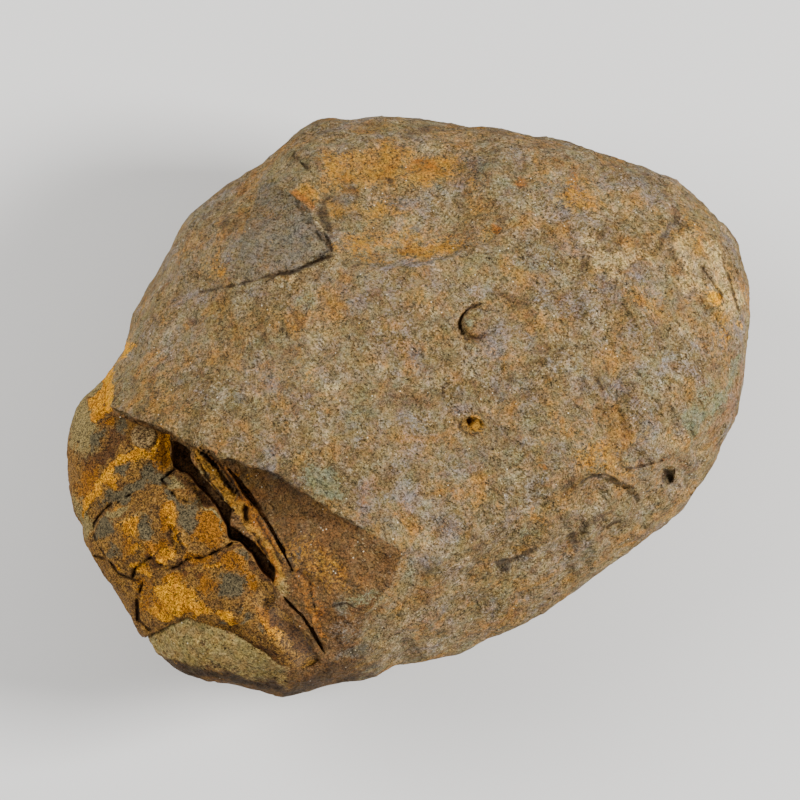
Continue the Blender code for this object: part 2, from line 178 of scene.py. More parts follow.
fossil = {
    "edge": [
        (-25, -3.3), (-24.8, -6.8), (-23.3, -7.2), (-21.3, -9.6), (-19.7, -11.8), (-18.7, -14.2),
        (-17.5, -14.6), (-16.1, -16.4), (-14.3, -18.8), (-13.8, -20.8), (-12.4, -22.3), (-10.9, -24),
        (-9.3, -27), (-11.5, -28), (-14.2, -26.7), (-15.4, -25.8), (-18.5, -24.1), (-21.4, -22.9),
        (-23, -22.3), (-25.6, -23.5), (-29, -25.2), (-44, -31), (-48, -12), (-44, 7), (-31, 5.6),
        (-31.5, 3.3), (-31.9, 0.9), (-31.7, -0.6), (-29.4, -1.6),
    ],
    "anchor": (-42, -11),
    # level and scale about the anchor
    "rings": [(26, 1), (1.5, 1), (-3, 0.93), (-6.5, 0.8), (-9, 0.6), (-10.5, 0.36)],
    "standsOut": 0.45,
    "seam": -0.1,
    "voxel": 0.16,
    "triangles": 150000,
    "origin": (-20.3, -12.1),
    "across": (0.572, -0.82),
    "outward": (-0.82, -0.572),
    # middle, radius, height
    "eye": ((-27.8, -3.35), 1.35, 0.42),
    "ribSpacing": 2.4,
    "ribHeight": 0.35,
    # plates of the head: corners, step, and where along a line the step has faded and is full
    "plates": [
        ([(-32.6, -12.3), (-31.4, -11), (-29.3, -9.7), (-27.5, -8.7), (-25.9, -7.9), (-25.1, -9),
         (-24.4, -9.8), (-22.7, -10.4), (-20.8, -11.3), (-19.7, -12), (-19.2, -13.1), (-18.6, -14.5),
         (-20.4, -15.5), (-21.6, -16), (-23.3, -16.1), (-24.1, -16.8), (-25, -17.1), (-26.1, -17.1),
         (-27.3, -16.1), (-28.7, -17.2), (-29, -18.2), (-30.4, -17.6), (-31.5, -16.3), (-32.6, -14.7),
         (-33.1, -13.5)], 0.38, ((-26, -8), (-24, -13))),
        ([(-25.8, -7.9), (-24.7, -6.6), (-23.2, -7), (-20.8, -9.6), (-20.6, -10.6), (-21.9, -10.7),
         (-23, -10.2), (-24.4, -9.7), (-25, -8.9)], -1.6, ((-25.9, -7.3), (-21.2, -9.8))),
        ([(-25.2, -2.8), (-26.3, -2.3), (-26.2, -3.6), (-26, -5.2), (-25.6, -6.4), (-24.4, -7),
         (-23.6, -4)], -0.22, ((-26.2, -5), (-25, -5))),
        ([(-24.6, -23.4), (-23.4, -21.9), (-20.8, -22.6), (-18.6, -23.9), (-16, -25), (-14.2, -26.5),
         (-20, -30), (-28, -27)], -0.25, ((-20, -21), (-20, -23))),
    ],
    # path, half width, depth or height
    "cracks": [
        ([(-33, -12.4), (-32.6, -11.8), (-31.9, -11), (-31.1, -10.4)], 0.054, 0.5),
        ([(-30.6, -10.4), (-29.9, -9.9), (-29.2, -9.5)], 0.0612, 0.5),
        ([(-25.9, -7.9), (-25.3, -7.3), (-24.6, -6.9)], 0.0648, 0.7),
        ([(-25.9, -7.9), (-25.1, -9), (-24.4, -9.8), (-23.4, -10.2)], 0.072, 0.6),
        ([(-18.6, -14.6), (-20.4, -15.5), (-21.6, -16), (-23.3, -16.2), (-24.1, -16.9), (-24.9, -17.2)],
         0.072, 0.6),
        ([(-25.9, -16.9), (-27.1, -16), (-28.7, -17.2), (-29, -18.2)], 0.072, 0.5),
        ([(-32.9, -15.9), (-31.4, -16.4), (-30.4, -17.8), (-29, -18.4), (-27.9, -18.7), (-28.5, -20.5),
         (-28.4, -22.6), (-27.2, -23.7)], 0.0864, 0.5),
        ([(-33, -12.4), (-33.1, -13.5), (-32.6, -14.7), (-31.6, -16.2)], 0.0504, 0.35),
        ([(-24.7, -12.9), (-24.2, -13.9), (-23.7, -15.1)], 0.0504, 0.3),
        ([(-31.7, -0.4), (-30.4, -0.5), (-29.1, -1.1), (-28.2, -1.9), (-26.8, -1.9), (-25.4, -2.7)], 0.072,
         0.35),
    ],
    "ridges": [
        ([(-24.3, -12.6), (-23.9, -13.8), (-23.5, -15.2)], 0.28, 0.35),
        ([(-26, -10.9), (-25, -12), (-24.8, -13.6)], 0.7, 0.3),
        ([(-28.3, -13.3), (-27.5, -14.9), (-26.6, -16.3)], 0.6, 0.3),
        ([(-26.6, -5.9), (-29.1, -5.5), (-31, -6), (-31.4, -8), (-33.6, -10)], 0.45, 0.22),
    ],
    "furrows": [
        ([(-24.9, -13), (-24.6, -14.4), (-24.2, -15.4)], 0.35, 0.45), ([(-26.9, -13.4), (-26.2, -15.6)],
        0.6, 0.25), ([(-16.2, -19.6), (-13.4, -23.2), (-10.6, -26.6)], 1.5, 0.9), ([(-31, -0.9),
        (-29, -1.9), (-26.5, -2.5)], 0.45, 0.4),
    ],
    "axis": 1.7,
    "lobeHeight": 0.5,
    "borderDepth": 0.35,
    "eyeMound": 0.45,
    "channel": [(-14.6, -20.8), (-12.6, -23.8), (-10.6, -26.6)],
}

studio = {
    "lens": 171.4,
    "distance": 400,
    "lookAt": (-0.89, 0.47),
    # lamps: place, size, power
    "key": ((305, -20, 262), 115, 2.85),
    "fill": ((-260, 60, 230), 220, 1.35),
    "sky": 0.4,
    "paper": (0.72, 0.71, 0.69, 1),
}


def smoothstep(low, high, value):
    t = np.clip((value - low) / (high - low), 0, 1)
    return t * t * (3 - 2 * t)


def bell(value, width):
    return np.exp(-(value / width) ** 2)


def farFrom(place, flat):
    return np.hypot(*(flat - np.array(place)).T)


def heightOverMiddle(points):
    return points[:, 2] + math.tan(stone["tilt"]) * points[:, 1]


def seen(points):
    # where a point appears on the plane of the face, from the camera's place in front of it
    middle = np.array(studio["lookAt"])
    return middle + (points[:, :2] - middle) * (1 / (1 - points[:, 2] / studio["distance"]))[:, None]


def groundHeight(ground, flat):
    hits = [ground.ray_cast(Vector((x, y, 60)), Vector((0, 0, -1)))[0] for x, y in flat]
    return np.array([hit.z if hit else 0.0 for hit in hits])


def onSurface(path, surface):
    # where the points of a path, given as they are seen, lie on the surface
    middle = np.array(studio["lookAt"])
    height = np.zeros(len(path))
    for _ in range(4):
        place = middle + (np.array(path) - middle) * (1 - height / studio["distance"])[:, None]
        height = groundHeight(surface, place)
    return place


def outlineRadius(degrees):
    # Catmull-Rom round the closed outline
    angles, radii = np.array(stone["outline"], float).T
    angles = np.concatenate([angles[-2:] - 360, angles, angles[:3] + 360])
    radii = np.concatenate([radii[-2:], radii, radii[:3]])
    i = np.searchsorted(angles, degrees % 360, side="right") - 1
    t = (degrees % 360 - angles[i]) / (angles[i + 1] - angles[i])
    a, b, c, d = (radii[i + k] for k in (-1, 0, 1, 2))
    return b + 0.5 * t * (c - a + t * (2 * a - 5 * b + 4 * c - d + t * (3 * (b - c) + d - a)))


def pathDistance(points, path):
    nearest = np.full(len(points), np.inf)
    for a, b in zip(path, path[1:]):
        a, b = np.array(a), np.array(b)
        along = np.clip(((points - a) @ (b - a)) / ((b - a) @ (b - a)), 0, 1)
        nearest = np.minimum(nearest, np.linalg.norm(points - a - along[:, None] * (b - a), axis=1))
    return nearest


def edgeDistance(points, corners):
    # negative inside the closed outline
    inside = np.zeros(len(points), bool)
    for a, b in zip(corners, corners[1:] + corners[:1]):
        crosses = (a[1] > points[:, 1]) != (b[1] > points[:, 1])
        slope = (b[0] - a[0]) / (b[1] - a[1]) if b[1] != a[1] else 0.0
        inside ^= crosses & (points[:, 0] < a[0] + (points[:, 1] - a[1]) * slope)
    nearest = pathDistance(points, corners + corners[:1])
    return np.where(inside, -nearest, nearest)


def faceRelief(flat):
    (x, y), (wide, high), depth = faceMarks["basin"]
    reach = np.hypot((flat[:, 0] - x) / wide, (flat[:, 1] - y) / high)
    relief = -depth * smoothstep(1.1, 0.65, reach)
    relief -= faceMarks["creaseDepth"] * smoothstep(0.9, 0.1, pathDistance(flat, faceMarks["crease"]))
    for middle, radius, depth in faceMarks["pits"]:
        relief -= depth * smoothstep(1.1, 0.3, farFrom(middle, flat) / radius)
    return relief


def stoneForm(directions):
    angle = np.degrees(np.arctan2(directions[:, 1], directions[:, 0]))
    flat = np.hypot(directions[:, 0], directions[:, 1])
    reach = outlineRadius(angle) * flat ** (2 / stone["fullness"])
    height = np.where(directions[:, 2] > 0, stone["frontHeight"], stone["backHeight"])
    lift = np.sign(directions[:, 2]) * np.abs(directions[:, 2]) ** (2 / stone["fullness"]) * height
    points = np.column_stack([reach * np.cos(np.radians(angle)), reach * np.sin(np.radians(angle)), lift])
    points[:, 2] -= math.tan(stone["tilt"]) * points[:, 1]
    for normal, distance, softness in stone["facets"]:
        normal = np.array(normal) / np.linalg.norm(normal)
        over = (points @ normal - distance) / softness
        points -= np.outer(softness * np.logaddexp(0, over), normal)
    for size, height in stone["lumps"]:
        swell = np.array([noise.noise(Vector(p / size)) for p in points])
        points += directions * (height * swell)[:, None]
    points[:, 2] += smoothstep(1.0, 6.0, heightOverMiddle(points)) * faceRelief(seen(points))
    return points


def brokenForm(directions):
    # the stone with its corner lowered to the level of the fossil
    points = stoneForm(directions)
    offset = seen(points) - np.array(breakage["ledgeStart"])
    along = offset @ np.array(breakage["ledgeAlong"])
    out = offset @ np.array(breakage["ledgeOut"])
    fade = 1 - smoothstep(*breakage["ledgeFades"], along)
    hollow = breakage["hollow"] * bell(out - 1.5, 3.0) * smoothstep(0.0, 6.0, along)
    height = np.maximum(heightOverMiddle(points), 0)
    points[:, 2] -= (breakage["share"] * height + hollow) * fade - 0.4 * (1 - fade)
    return points


def outNormals(points):
    # of the smooth ball that the stone nearly is
    wide, high, deep = stone["ball"]
    steep = heightOverMiddle(points) / deep ** 2
    up = points[:, 1] / high ** 2 + math.tan(stone["tilt"]) * steep
    normals = np.column_stack([points[:, 0] / wide ** 2, up, steep])
    return normals / np.linalg.norm(normals, axis=1)[:, None]


def fossilForm(directions):
    # the broken surface standing out a little, with the head's lobes, borders and tail ribs
    points = brokenForm(directions)
    flat = seen(points)
    offset = flat - np.array(fossil["origin"])
    across = np.abs(offset @ np.array(fossil["across"]) - fossil["axis"])
    outward = offset @ np.array(fossil["outward"])
    height = heightOverMiddle(points)
    relief = fossil["standsOut"] * smoothstep(0.0, 1.6, -edgeDistance(flat, fossil["edge"]))
    relief += fossil["lobeHeight"] * smoothstep(9.0, 5.5, across)
    relief -= fossil["borderDepth"] * bell(across - 9.3, 0.9)
    relief -= fossil["borderDepth"] * bell(outward - 9.6, 0.8) * smoothstep(-1.0, 1.0, height)
    relief += fossil["eyeMound"] * smoothstep(3.4, 1.5, farFrom(fossil["eye"][0], flat))
    ribs = np.abs(np.sin(np.pi * height / fossil["ribSpacing"])) - 0.5
    relief += fossil["ribHeight"] * ribs * smoothstep(-0.5, -2.5, height)
    return points + outNormals(points) * relief[:, None]


def meshObject(name, bm):
    mesh = bpy.data.meshes.new(name)
    bm.to_mesh(mesh)
    bm.free()
    obj = bpy.data.objects.new(name, mesh)
    bpy.context.scene.collection.objects.link(obj)
    return obj


def ballMesh(form, subdivisions, nearCorner):
    # a ball with finer faces near the broken corner, shaped by form
    corner = Vector((-0.72, -0.55, 0.42)).normalized()
    bm = bmesh.new()
    bmesh.ops.create_icosphere(bm, subdivisions=subdivisions, radius=1)
    chosen = [e for e in bm.edges if all(v.co.dot(corner) > nearCorner for v in e.verts)]
    if chosen:
        bmesh.ops.subdivide_edges(bm, edges=chosen, cuts=1)
        bmesh.ops.triangulate(bm, faces=bm.faces)
    directions = np.array([v.co.normalized() for v in bm.verts])
    for v, p in zip(bm.verts, form(directions)):
        v.co = p
    return bm


def raggedOutline(corners, step, depth, seed):
    # the same outline with more corners, each nudged a little
    ragged = []
    for a, b in zip(corners, np.roll(corners, -1, axis=0)):
        onStone = max(abs(a[0]), abs(b[0])) < stone["reach"]
        count = max(1, round(np.linalg.norm(b - a) / step)) if onStone else 1
        for i in range(count):
            point = a + (b - a) * i / count
            nudge = noise.noise_vector(Vector((point[0] / 1.1, point[1] / 1.1, seed)))
            ragged.append(point + depth * np.array(nudge[:2]))
    return np.array(ragged)


def grownOutline(points, distance):
    ahead = np.roll(points, -1, axis=0) - points
    area = np.sum(points[:, 0] * np.roll(points[:, 1], -1) - points[:, 1] * np.roll(points[:, 0], -1))
    out = np.column_stack([ahead[:, 1], -ahead[:, 0]]) * np.sign(area)
    out /= np.linalg.norm(out, axis=1)[:, None]
    bisector = out + np.roll(out, 1, axis=0)
    bisector /= np.maximum((bisector * out).sum(axis=1), 0.8)[:, None]
    return points + bisector * distance


def stackRings(rings):
    bm = bmesh.new()
    loops = [[bm.verts.new(p) for p in ring] for ring in rings]
    bm.faces.new(loops[0])
    bm.faces.new(loops[-1][::-1])
    for upper, lower in zip(loops, loops[1:]):
        for i in range(len(upper)):
            j = (i + 1) % len(upper)
            bm.faces.new([upper[j], upper[i], lower[i], lower[j]])
    bmesh.ops.triangulate(bm, faces=bm.faces)
    bmesh.ops.recalc_face_normals(bm, faces=bm.faces)
    return bm


def levelRing(ring, level):
    # at one height over the stone's tipped middle
    return np.column_stack([ring, level - math.tan(stone["tilt"]) * ring[:, 1]])


def headBlock(ground, growth):
    # narrower below; growth makes it fuller all round, for the pocket
    edge = raggedOutline(onSurface(fossil["edge"], ground), 0.7, 0.35, 5.0)
    anchor, edge = np.array(fossil["anchor"]), grownOutline(edge, growth)
    return stackRings([levelRing(anchor + (edge - anchor) * scale, level - growth if level < 2 else level)
                       for level, scale in fossil["rings"]])


def stripOutline(path, halfWidths):
    ahead = np.gradient(path, axis=0)
    side = np.column_stack([-ahead[:, 1], ahead[:, 0]]) / np.linalg.norm(ahead, axis=1)[:, None]
    side *= np.array(halfWidths)[:, None]
    return np.concatenate([path + side, (path - side)[::-1]])


def sunkBlock(outline, ground, depth, leaning=0.0):
    middle = outline.mean(axis=0)
    lower = middle + (grownOutline(outline, -leaning) - middle) * 0.97
    floor = groundHeight(ground, lower) - depth
    top = np.column_stack([outline, np.full(len(outline), stone["cutTop"])])
    return stackRings([top, np.column_stack([lower, floor])])


def settle(obj):
    # what the modifiers make of the object becomes its mesh
    graph = bpy.context.evaluated_depsgraph_get()
    mesh = bpy.data.meshes.new_from_object(obj.evaluated_get(graph), preserve_all_data_layers=True,
                                           depsgraph=graph)
    obj.modifiers.clear()
    obj.data = mesh


def combine(obj, other, operation="DIFFERENCE"):
    step = obj.modifiers.new(operation.title(), "BOOLEAN")
    step.solver = "MANIFOLD"
    step.operation = operation
    step.object = other
    settle(obj)
    bpy.data.objects.remove(other)


def remesh(obj, voxel):
    step = obj.modifiers.new("Even grain", "REMESH")
    step.mode = "VOXEL"
    step.voxel_size = voxel
    step.use_smooth_shade = True
    settle(obj)


def getVectors(items, field):
    values = np.zeros(len(items) * 3)
    items.foreach_get(field, values)
    return values.reshape(-1, 3)


def getPoints(mesh):
    return getVectors(mesh.vertices, "co")


def getNormals(mesh):
    return getVectors(mesh.vertex_normals, "vector")


def setPoints(mesh, points):
    mesh.vertices.foreach_set("co", np.ascontiguousarray(points).ravel())
    mesh.update()


def countTriangles(mesh):
    return sum(len(face.vertices) - 2 for face in mesh.polygons)


def thin(obj, triangles):
    step = obj.modifiers.new("Thinning", "DECIMATE")
    step.ratio = min(1.0, triangles / countTriangles(obj.data))
    settle(obj)


def refine(mesh, chosen):
    # a face whose corners are all chosen is split in four
    bm = bmesh.new()
    bm.from_mesh(mesh)
    edges = [e for e in bm.edges if chosen[e.verts[0].index] and chosen[e.verts[1].index]]
    bmesh.ops.subdivide_edges(bm, edges=edges, cuts=1, use_grid_fill=True)
    bmesh.ops.triangulate(bm, faces=[f for f in bm.faces if len(f.verts) > 4])
    bm.to_mesh(mesh)
    bm.free()


def wander(flat, size, seed):
    return np.array([noise.noise(Vector((x / size, y / size, seed))) for x, y in flat])


def steps(flat, plates, width):
    # each plate is lifted or sunk by its step, with a ragged edge
    ragged = 0.28 * wander(flat, 1.1, 12.0) + 0.12 * wander(flat, 0.45, 21.0)
    relief = np.zeros(len(flat))
    for corners, lift, (faded, full) in plates:
        faded, full = np.array(faded), np.array(full)
        along = (flat - faded) @ (full - faded) / ((full - faded) @ (full - faded))
        inside = smoothstep(width, -width, edgeDistance(flat, corners) + ragged)
        relief += lift * inside * (along.clip(0, 1) if abs(lift) > 1 else smoothstep(0, 1, along))
    return relief


def grooves(flat, cracks, raggedness):
    # how far down each point lies in a crack, and how much of a crack it is
    ragged = raggedness * wander(flat, 0.8, 7.0)
    relief, share = np.zeros(len(flat)), np.zeros(len(flat))
    for path, halfWidth, depth in cracks:
        groove = smoothstep(1.9 * halfWidth, 0.5 * halfWidth, pathDistance(flat, path) + ragged)
        relief = np.minimum(relief, -depth * groove)
        share = np.maximum(share, groove)
    return relief, share


def domeOver(reach, height):
    return height * np.sqrt(np.clip(1 - reach ** 2, 0, 1))


def addField(mesh, name, values):
    field = mesh.attributes.new(name, "FLOAT", "POINT")
    field.data.foreach_set("value", np.clip(values, 0, 1).astype(np.float32))


def stainField(flat, patches, strokes, areas=()):
    drift = [noise.noise_vector(Vector((x / 2.0, y / 2.0, 3.0))) * 0.8 +
             noise.noise_vector(Vector((x / 0.8, y / 0.8, 8.0))) * 0.5 for x, y in flat]
    moved, field = flat + np.array(drift)[:, :2], np.zeros(len(flat))
    for x, y, wide, high, strength, *turn in patches:
        turn = math.radians(turn[0] if turn else 0)
        c, s = math.cos(turn), math.sin(turn)
        dx, dy = moved[:, 0] - x, moved[:, 1] - y
        reach = np.hypot((dx * c + dy * s) / wide, (dy * c - dx * s) / high)
        field = np.maximum(field, strength * smoothstep(1.45, 0.35, reach))
    for path, halfWidth, strength in strokes:
        field = np.maximum(field, strength * smoothstep(1.7, 0.5, pathDistance(moved, path) / halfWidth))
    for corners, strength in areas:
        field = np.maximum(field, strength * smoothstep(0.25, -0.25, edgeDistance(flat, corners)))
    return field


def addStains(mesh, flat, stains):
    front = smoothstep(-2.0, 1.5, heightOverMiddle(getPoints(mesh)))
    for name, marks in stains.items():
        addField(mesh, name, stainField(flat, *marks) * front)


def placeInWorld(mesh):
    turned = getPoints(mesh) @ np.array(Matrix.Rotation(stone["tilt"], 3, "X")).T
    setPoints(mesh, (turned + np.array(stone["faceOrigin"])) * mm)


# stains of the nodule: patches (middle x and y, half width and height, strength, and turn if it is turned),
# then strokes (path, half width, strength), then areas (corners, strength)
nodulePatches = {
    "ochre": ([
        (-4.5, 24.6, 5.5, 2.8, 0.8, 5), (-1.3, 26, 3.4, 1.6, 0.7), (2, 24.6, 4.2, 2.2, 0.7),
        (-10.6, 22.6, 1.6, 0.9, 0.9, -50), (-20.8, 14.4, 1.6, 2.2, 0.5), (19.3, -5.6, 2.6, 2, 0.5),
        (-6.7, 16.7, 3.1, 1.1, 0.6), (2.3, 16.2, 5, 0.9, 0.7, 10), (17.9, 21.3, 2.8, 1.3, 0.8, -15),
        (15.9, 23, 2.1, 1.3, 0.4), (24.6, 11.4, 3, 2, 0.35, -40), (22.2, -6.5, 4, 2.1, 0.4),
        (13.8, -2.2, 3.6, 3.1, 0.3), (-10.3, -16.3, 5, 2.7, 0.5, -35), (7.5, -20.5, 5.2, 2.1, 0.25, 20),
        (-11.8, 3.4, 2.7, 1.9, 0.35), (-22.9, 15.2, 1.5, 3.1, 0.4, 50), (4.9, 17.8, 4.2, 1.1, 0.4),
        # the last patch on this line and the first on the next lie on the right end: partly ochre stone and
        # partly painted light falling on that end
        (-4.6, 20.1, 5, 1.5, 0.7), (9.6, -10.6, 4.2, 2.1, 0.3), (33.4, 8.6, 1.2, 2.4, 0.6),
        (33.4, 12.5, 2, 4, 0.6, 15), (6.5, 23, 3.1, 2.5, 0.4), (6.7, -2.3, 1.3, 0.8, 1),
        (29.3, 17.4, 1.8, 3.2, 0.5, 20), (26.4, 19.6, 1.6, 1.2, 0.4, -40),
    ], [
        ([(-22.2, -5), (-20.4, -7.4), (-18.2, -10.2), (-16.4, -12.8), (-14.6, -15.8), (-13.6, -18.4)], 0.7,
         0.9),
    ], [
        ([(-8, 16.4), (-6.4, 15.3), (-4, 14.8), (-1, 14.7), (2.4, 15), (5.4, 16), (8.6, 17.3), (9.4, 18.6),
         (6, 19.4), (1, 18.6), (-3, 18.4), (-7, 18.2)], 0.42),
    ]),
    "rust": ([
        (-11, 21.6, 1.7, 0.75, 1, -55), (1.7, 25.1, 2.5, 0.8, 0.7, -15), (9.3, 18.2, 0.8, 0.5, 0.9),
        (8.8, 20, 0.6, 0.4, 0.5), (11.6, 23, 0.9, 0.4, 0.7, -20), (14.2, -6.5, 0.8, 0.4, 0.9, -40),
        (13.4, -10.7, 0.4, 0.7, 0.6), (17.7, 23.5, 0.5, 1.1, 0.6), (-7.2, 23.6, 2.1, 0.8, 0.4, 20),
        (32.5, 7.8, 0.8, 0.4, 0.4), (-11, -19.4, 2.4, 0.7, 0.6, -72), (-17, -11.5, 0.4, 0.7, 0.9),
    ], [
        ([(-11.6, -17.5), (-10.4, -18.6), (-9.9, -21.3)], 0.35, 0.6),
        ([(-10.6, -21.2), (-9.8, -22.6), (-9.2, -24.4)], 0.4, 0.7),
        ([(-20.5, -5.4), (-18.8, -7.7), (-17, -10.2), (-15.6, -12.6), (-14.2, -14.8)], 0.35, 0.8),
        ([(-15.9, -14.4), (-14.6, -16.4), (-13.9, -18.3)], 0.3, 0.8),
    ]),
    "yellow": ([
        # these three patches at the right end are partly the stone's yellow and partly painted light falling
        # on that end
        (32.2, 11.3, 1, 1.1, 1.3), (34.6, 8.3, 0.5, 1, 0.8), (31.2, 12.4, 0.8, 0.3, 0.5, -30),
    ], [
        ([(-30.2, 6.2), (-31.3, 4.1), (-31.8, 2.4), (-32, 0.7), (-32.4, -1.3)], 0.75, 1),
        ([(-22.2, -5.2), (-20.6, -8.6), (-18.4, -10.9)], 0.3, 0.35),
    ]),
    "dark": ([
        # among these, painted shade sits in the pits at (-2, 23.5), (3.4, 24.8), (-8.3, 21.7) and (9.4,
        # -23.6), in the notch at (28.5, -7.9), and at the foot of the ledge at (-17.2, -6.9) and (-12.3,
        # -8.6); the others are the stone's own dark spots
        (-8.7, 20, 1, 2.1, 1.1, 8), (17, -13.8, 1.1, 0.7, 0.8, 10), (28.5, -7.9, 0.5, 0.25, 0.8, 20),
        (-2, 23.5, 0.7, 0.6, 0.9), (3.4, 24.8, 0.5, 0.5, 0.8), (-6, 22.7, 0.9, 0.5, 0.6),
        (-8.3, 21.7, 0.7, 0.5, 0.8), (1.8, 21.9, 0.5, 0.3, 0.6), (3.1, 21.5, 0.4, 0.3, 0.6),
        (-7.7, 20.7, 1.3, 0.8, 0.5), (-6.7, 19.2, 1.1, 0.8, 0.4), (20.1, 2.4, 1.6, 0.9, 0.6, -50),
        (17.1, -1, 0.8, 0.8, 0.6), (13.2, -2.5, 0.9, 0.8, 0.4), (-19, 19.1, 0.5, 0.9, 0.6),
        (28.4, -5.4, 0.8, 0.8, 0.5), (9.4, -23.6, 1.1, 0.3, 0.7, 25), (-5.7, -25.9, 1.5, 0.6, 0.5),
        (-17.2, -6.9, 2.1, 0.7, 0.6, -25), (-3.4, -13.2, 1.1, 1.1, 0.4), (3.3, -19.3, 1.1, 0.6, 0.4),
        (17.5, -8.5, 1.3, 0.8, 0.4), (-12.3, -8.6, 3.7, 1, 0.6, -30),
    ], [
        # painted shadow under the upper rim of a shallow dent
        ([(17.9, -8.5), (19.3, -7.5), (20.5, -7.4), (21.3, -7.8), (22.3, -8.2), (23.4, -9)], 0.22, 0.9),
        # painted shade in the crease
        ([(28, 19.6), (27.2, 18.4), (26.4, 17), (26.2, 16.4)], 0.36, 0.75),
        ([(9.4, -17.2), (11.2, -16), (13.1, -15.2)], 0.42, 0.95),
        ([(18, -13.3), (18.8, -13), (19.6, -12.5)], 0.35, 0.7),
        # painted shade in two cracks at the right end
        ([(30.8, 14.4), (31.8, 12.9), (32.9, 11.5)], 0.16, 0.6),
        ([(30.4, 10.6), (31.4, 9)], 0.4, 0.6),
        # painted shade along the lower rim, where the stone turns under
        ([(-25.6, -27.2), (-22.1, -28.1), (-17.3, -29.2), (-12.5, -30), (-8.4, -29.6), (-3.5, -28.9)], 0.45,
         1),
        ([(-11.4, -30), (-8.2, -27.9), (-3.8, -27.4)], 0.84, 0.7),
        ([(-21.9, -4.6), (-20.1, -6.6), (-18.2, -9.3)], 0.2, 0.9),
        # painted shadow beside the blister's upper left
        ([(5, 10.2), (6.4, 10.8)], 0.4, 0.4),
    # painted shade in the notch
    ], [([(26.9, -6.7), (27.9, -7), (27.8, -8.2), (27.2, -8.5), (26.4, -7.8)], 0.8)]),
    "pale": ([
        # the patches at x 28.9 to 32.4 below, and the first stroke further down, lie on the right end: partly
        # pale stone and partly painted light falling on that end
        (19.8, 14.8, 1.8, 1.3, 0.6, -20), (25.6, -10.5, 1, 0.6, 0.7, 50), (28.4, -3.2, 1, 1.3, 0.5),
        (32.4, 12.6, 2, 2.6, 0.6, 15), (-9.9, 17.2, 0.7, 1, 0.6, 20), (21.8, 15.3, 3, 1, 0.9, 12),
        (19.1, 17, 1.4, 0.9, 0.7), (28.9, 15.9, 1.6, 2.6, 0.75, 15), (21.4, 13.4, 0.8, 1.1, 0.6),
        (25.5, 15.3, 0.7, 0.7, 0.7), (29.2, 12.7, 1.4, 0.9, 1, -35), (2.2, 27.1, 1.9, 0.5, 0.6, -10),
        (-20.3, 20, 0.9, 0.6, 0.5), (-22.6, 17.1, 0.6, 0.6, 0.4), (-11.7, 13.4, 0.6, 0.3, 0.9),
        (-7.7, 1.7, 1.3, 0.7, 0.6), (29.6, 15, 0.8, 1.5, 0.6, 60), (-16.6, 1.7, 0.7, 0.4, 0.6),
        (15.9, 21.5, 1.5, 0.6, 0.3, -30), (7, 8.9, 0.5, 0.5, 0.4),
    ], [
        ([(31.8, 16), (33, 13.4), (34.4, 10.7)], 0.8, 0.9),
        ([(-0.8, -14.2), (4.4, -16), (8.2, -16)], 0.16, 0.5),
        ([(-13.2, 23.3), (-11.4, 21.8), (-9.9, 19.9), (-9.2, 17.7)], 0.13, 0.6),
        ([(-22, -5.9), (-20.8, -8.4), (-18.4, -10.8)], 0.16, 0.7),
    ]),
    "lilac": ([
        (0.2, 14.8, 4.4, 0.5, 0.95, 3), (11.7, 15, 1.7, 0.8, 0.45), (24.2, 13.6, 1.2, 0.7, 0.7, -20),
        (23.6, 23, 2, 1.2, 0.5, -20), (16.7, 10.2, 1.7, 1.9, 0.6, -50), (14.3, 11, 1.5, 1.3, 0.5),
        (16.5, 19.7, 2.3, 1.1, 0.6, -15), (26.7, 3.8, 0.9, 1.7, 0.8, -10), (23.7, -0.8, 1.3, 2.3, 0.6, -15),
        (-1.4, 7.8, 2.7, 3.1, 0.5), (0.7, -3.7, 2.1, 3.1, 0.55), (-0.4, -9.5, 1.9, 1.9, 0.9, -30),
        (7.5, 12, 2.3, 1.1, 0.5), (14.2, -7.3, 0.7, 0.8, 0.5), (25.7, -10.3, 0.5, 1.3, 0.6, 30),
        (4.4, 2, 2.1, 1.3, 0.4, 30), (20.1, 6.2, 2.1, 1.9, 0.5, -50), (24.3, 7.8, 1.7, 1.3, 0.45, -60),
        (-5.1, 11, 2.1, 1.1, 0.4), (9.6, 6.8, 1.5, 1.3, 0.4), (1.2, 24.1, 0.6, 0.3, 0.4),
        (26.4, 21.5, 2.1, 1.1, 0.5, -35),
    ], [([(27.8, 18.9), (26.9, 17.7)], 0.5, 0.8)]),
    "slate": ([
        (-6, 23.1, 1.1, 0.5, 0.8), (-6.7, 21.6, 0.9, 0.6, 0.8), (-5.7, 19.7, 1.4, 0.9, 0.5),
        (0.5, 18.4, 1.3, 0.4, 0.7), (-7.2, -21.4, 1.2, 1.1, 0.9), (-5.7, -25.9, 2.3, 0.8, 0.8),
        (-6.7, -23.7, 2.1, 1.5, 0.6), (-17.4, 0.8, 0.9, 0.8, 1), (-13.2, 2.8, 0.3, 0.3, 0.7),
        (-2.4, -12.1, 0.7, 0.9, 0.8), (0.6, 18.4, 0.7, 0.3, 0.8), (2.9, 18.3, 0.8, 0.3, 0.8),
        (6.1, 18.7, 0.6, 0.3, 0.7), (17.1, -1, 0.8, 0.6, 0.5), (20.1, 2, 1.3, 0.8, 0.4, -50),
        (-1.9, -18.4, 0.8, 1.7, 0.4), (2.3, -15.8, 0.8, 0.5, 0.4), (30.6, 21.5, 0.8, 0.4, 0.3, -40),
        (9.6, -1.2, 1.1, 0.8, 0.3),
    ], [([(9.4, -17.3), (11.4, -16.1), (13.3, -15.3)], 0.5, 0.7)], [
        ([(-15.7, 23.3), (-13.6, 23.3), (-11.9, 21.9), (-10.4, 20.6), (-9.4, 18.4), (-8.6, 16.9),
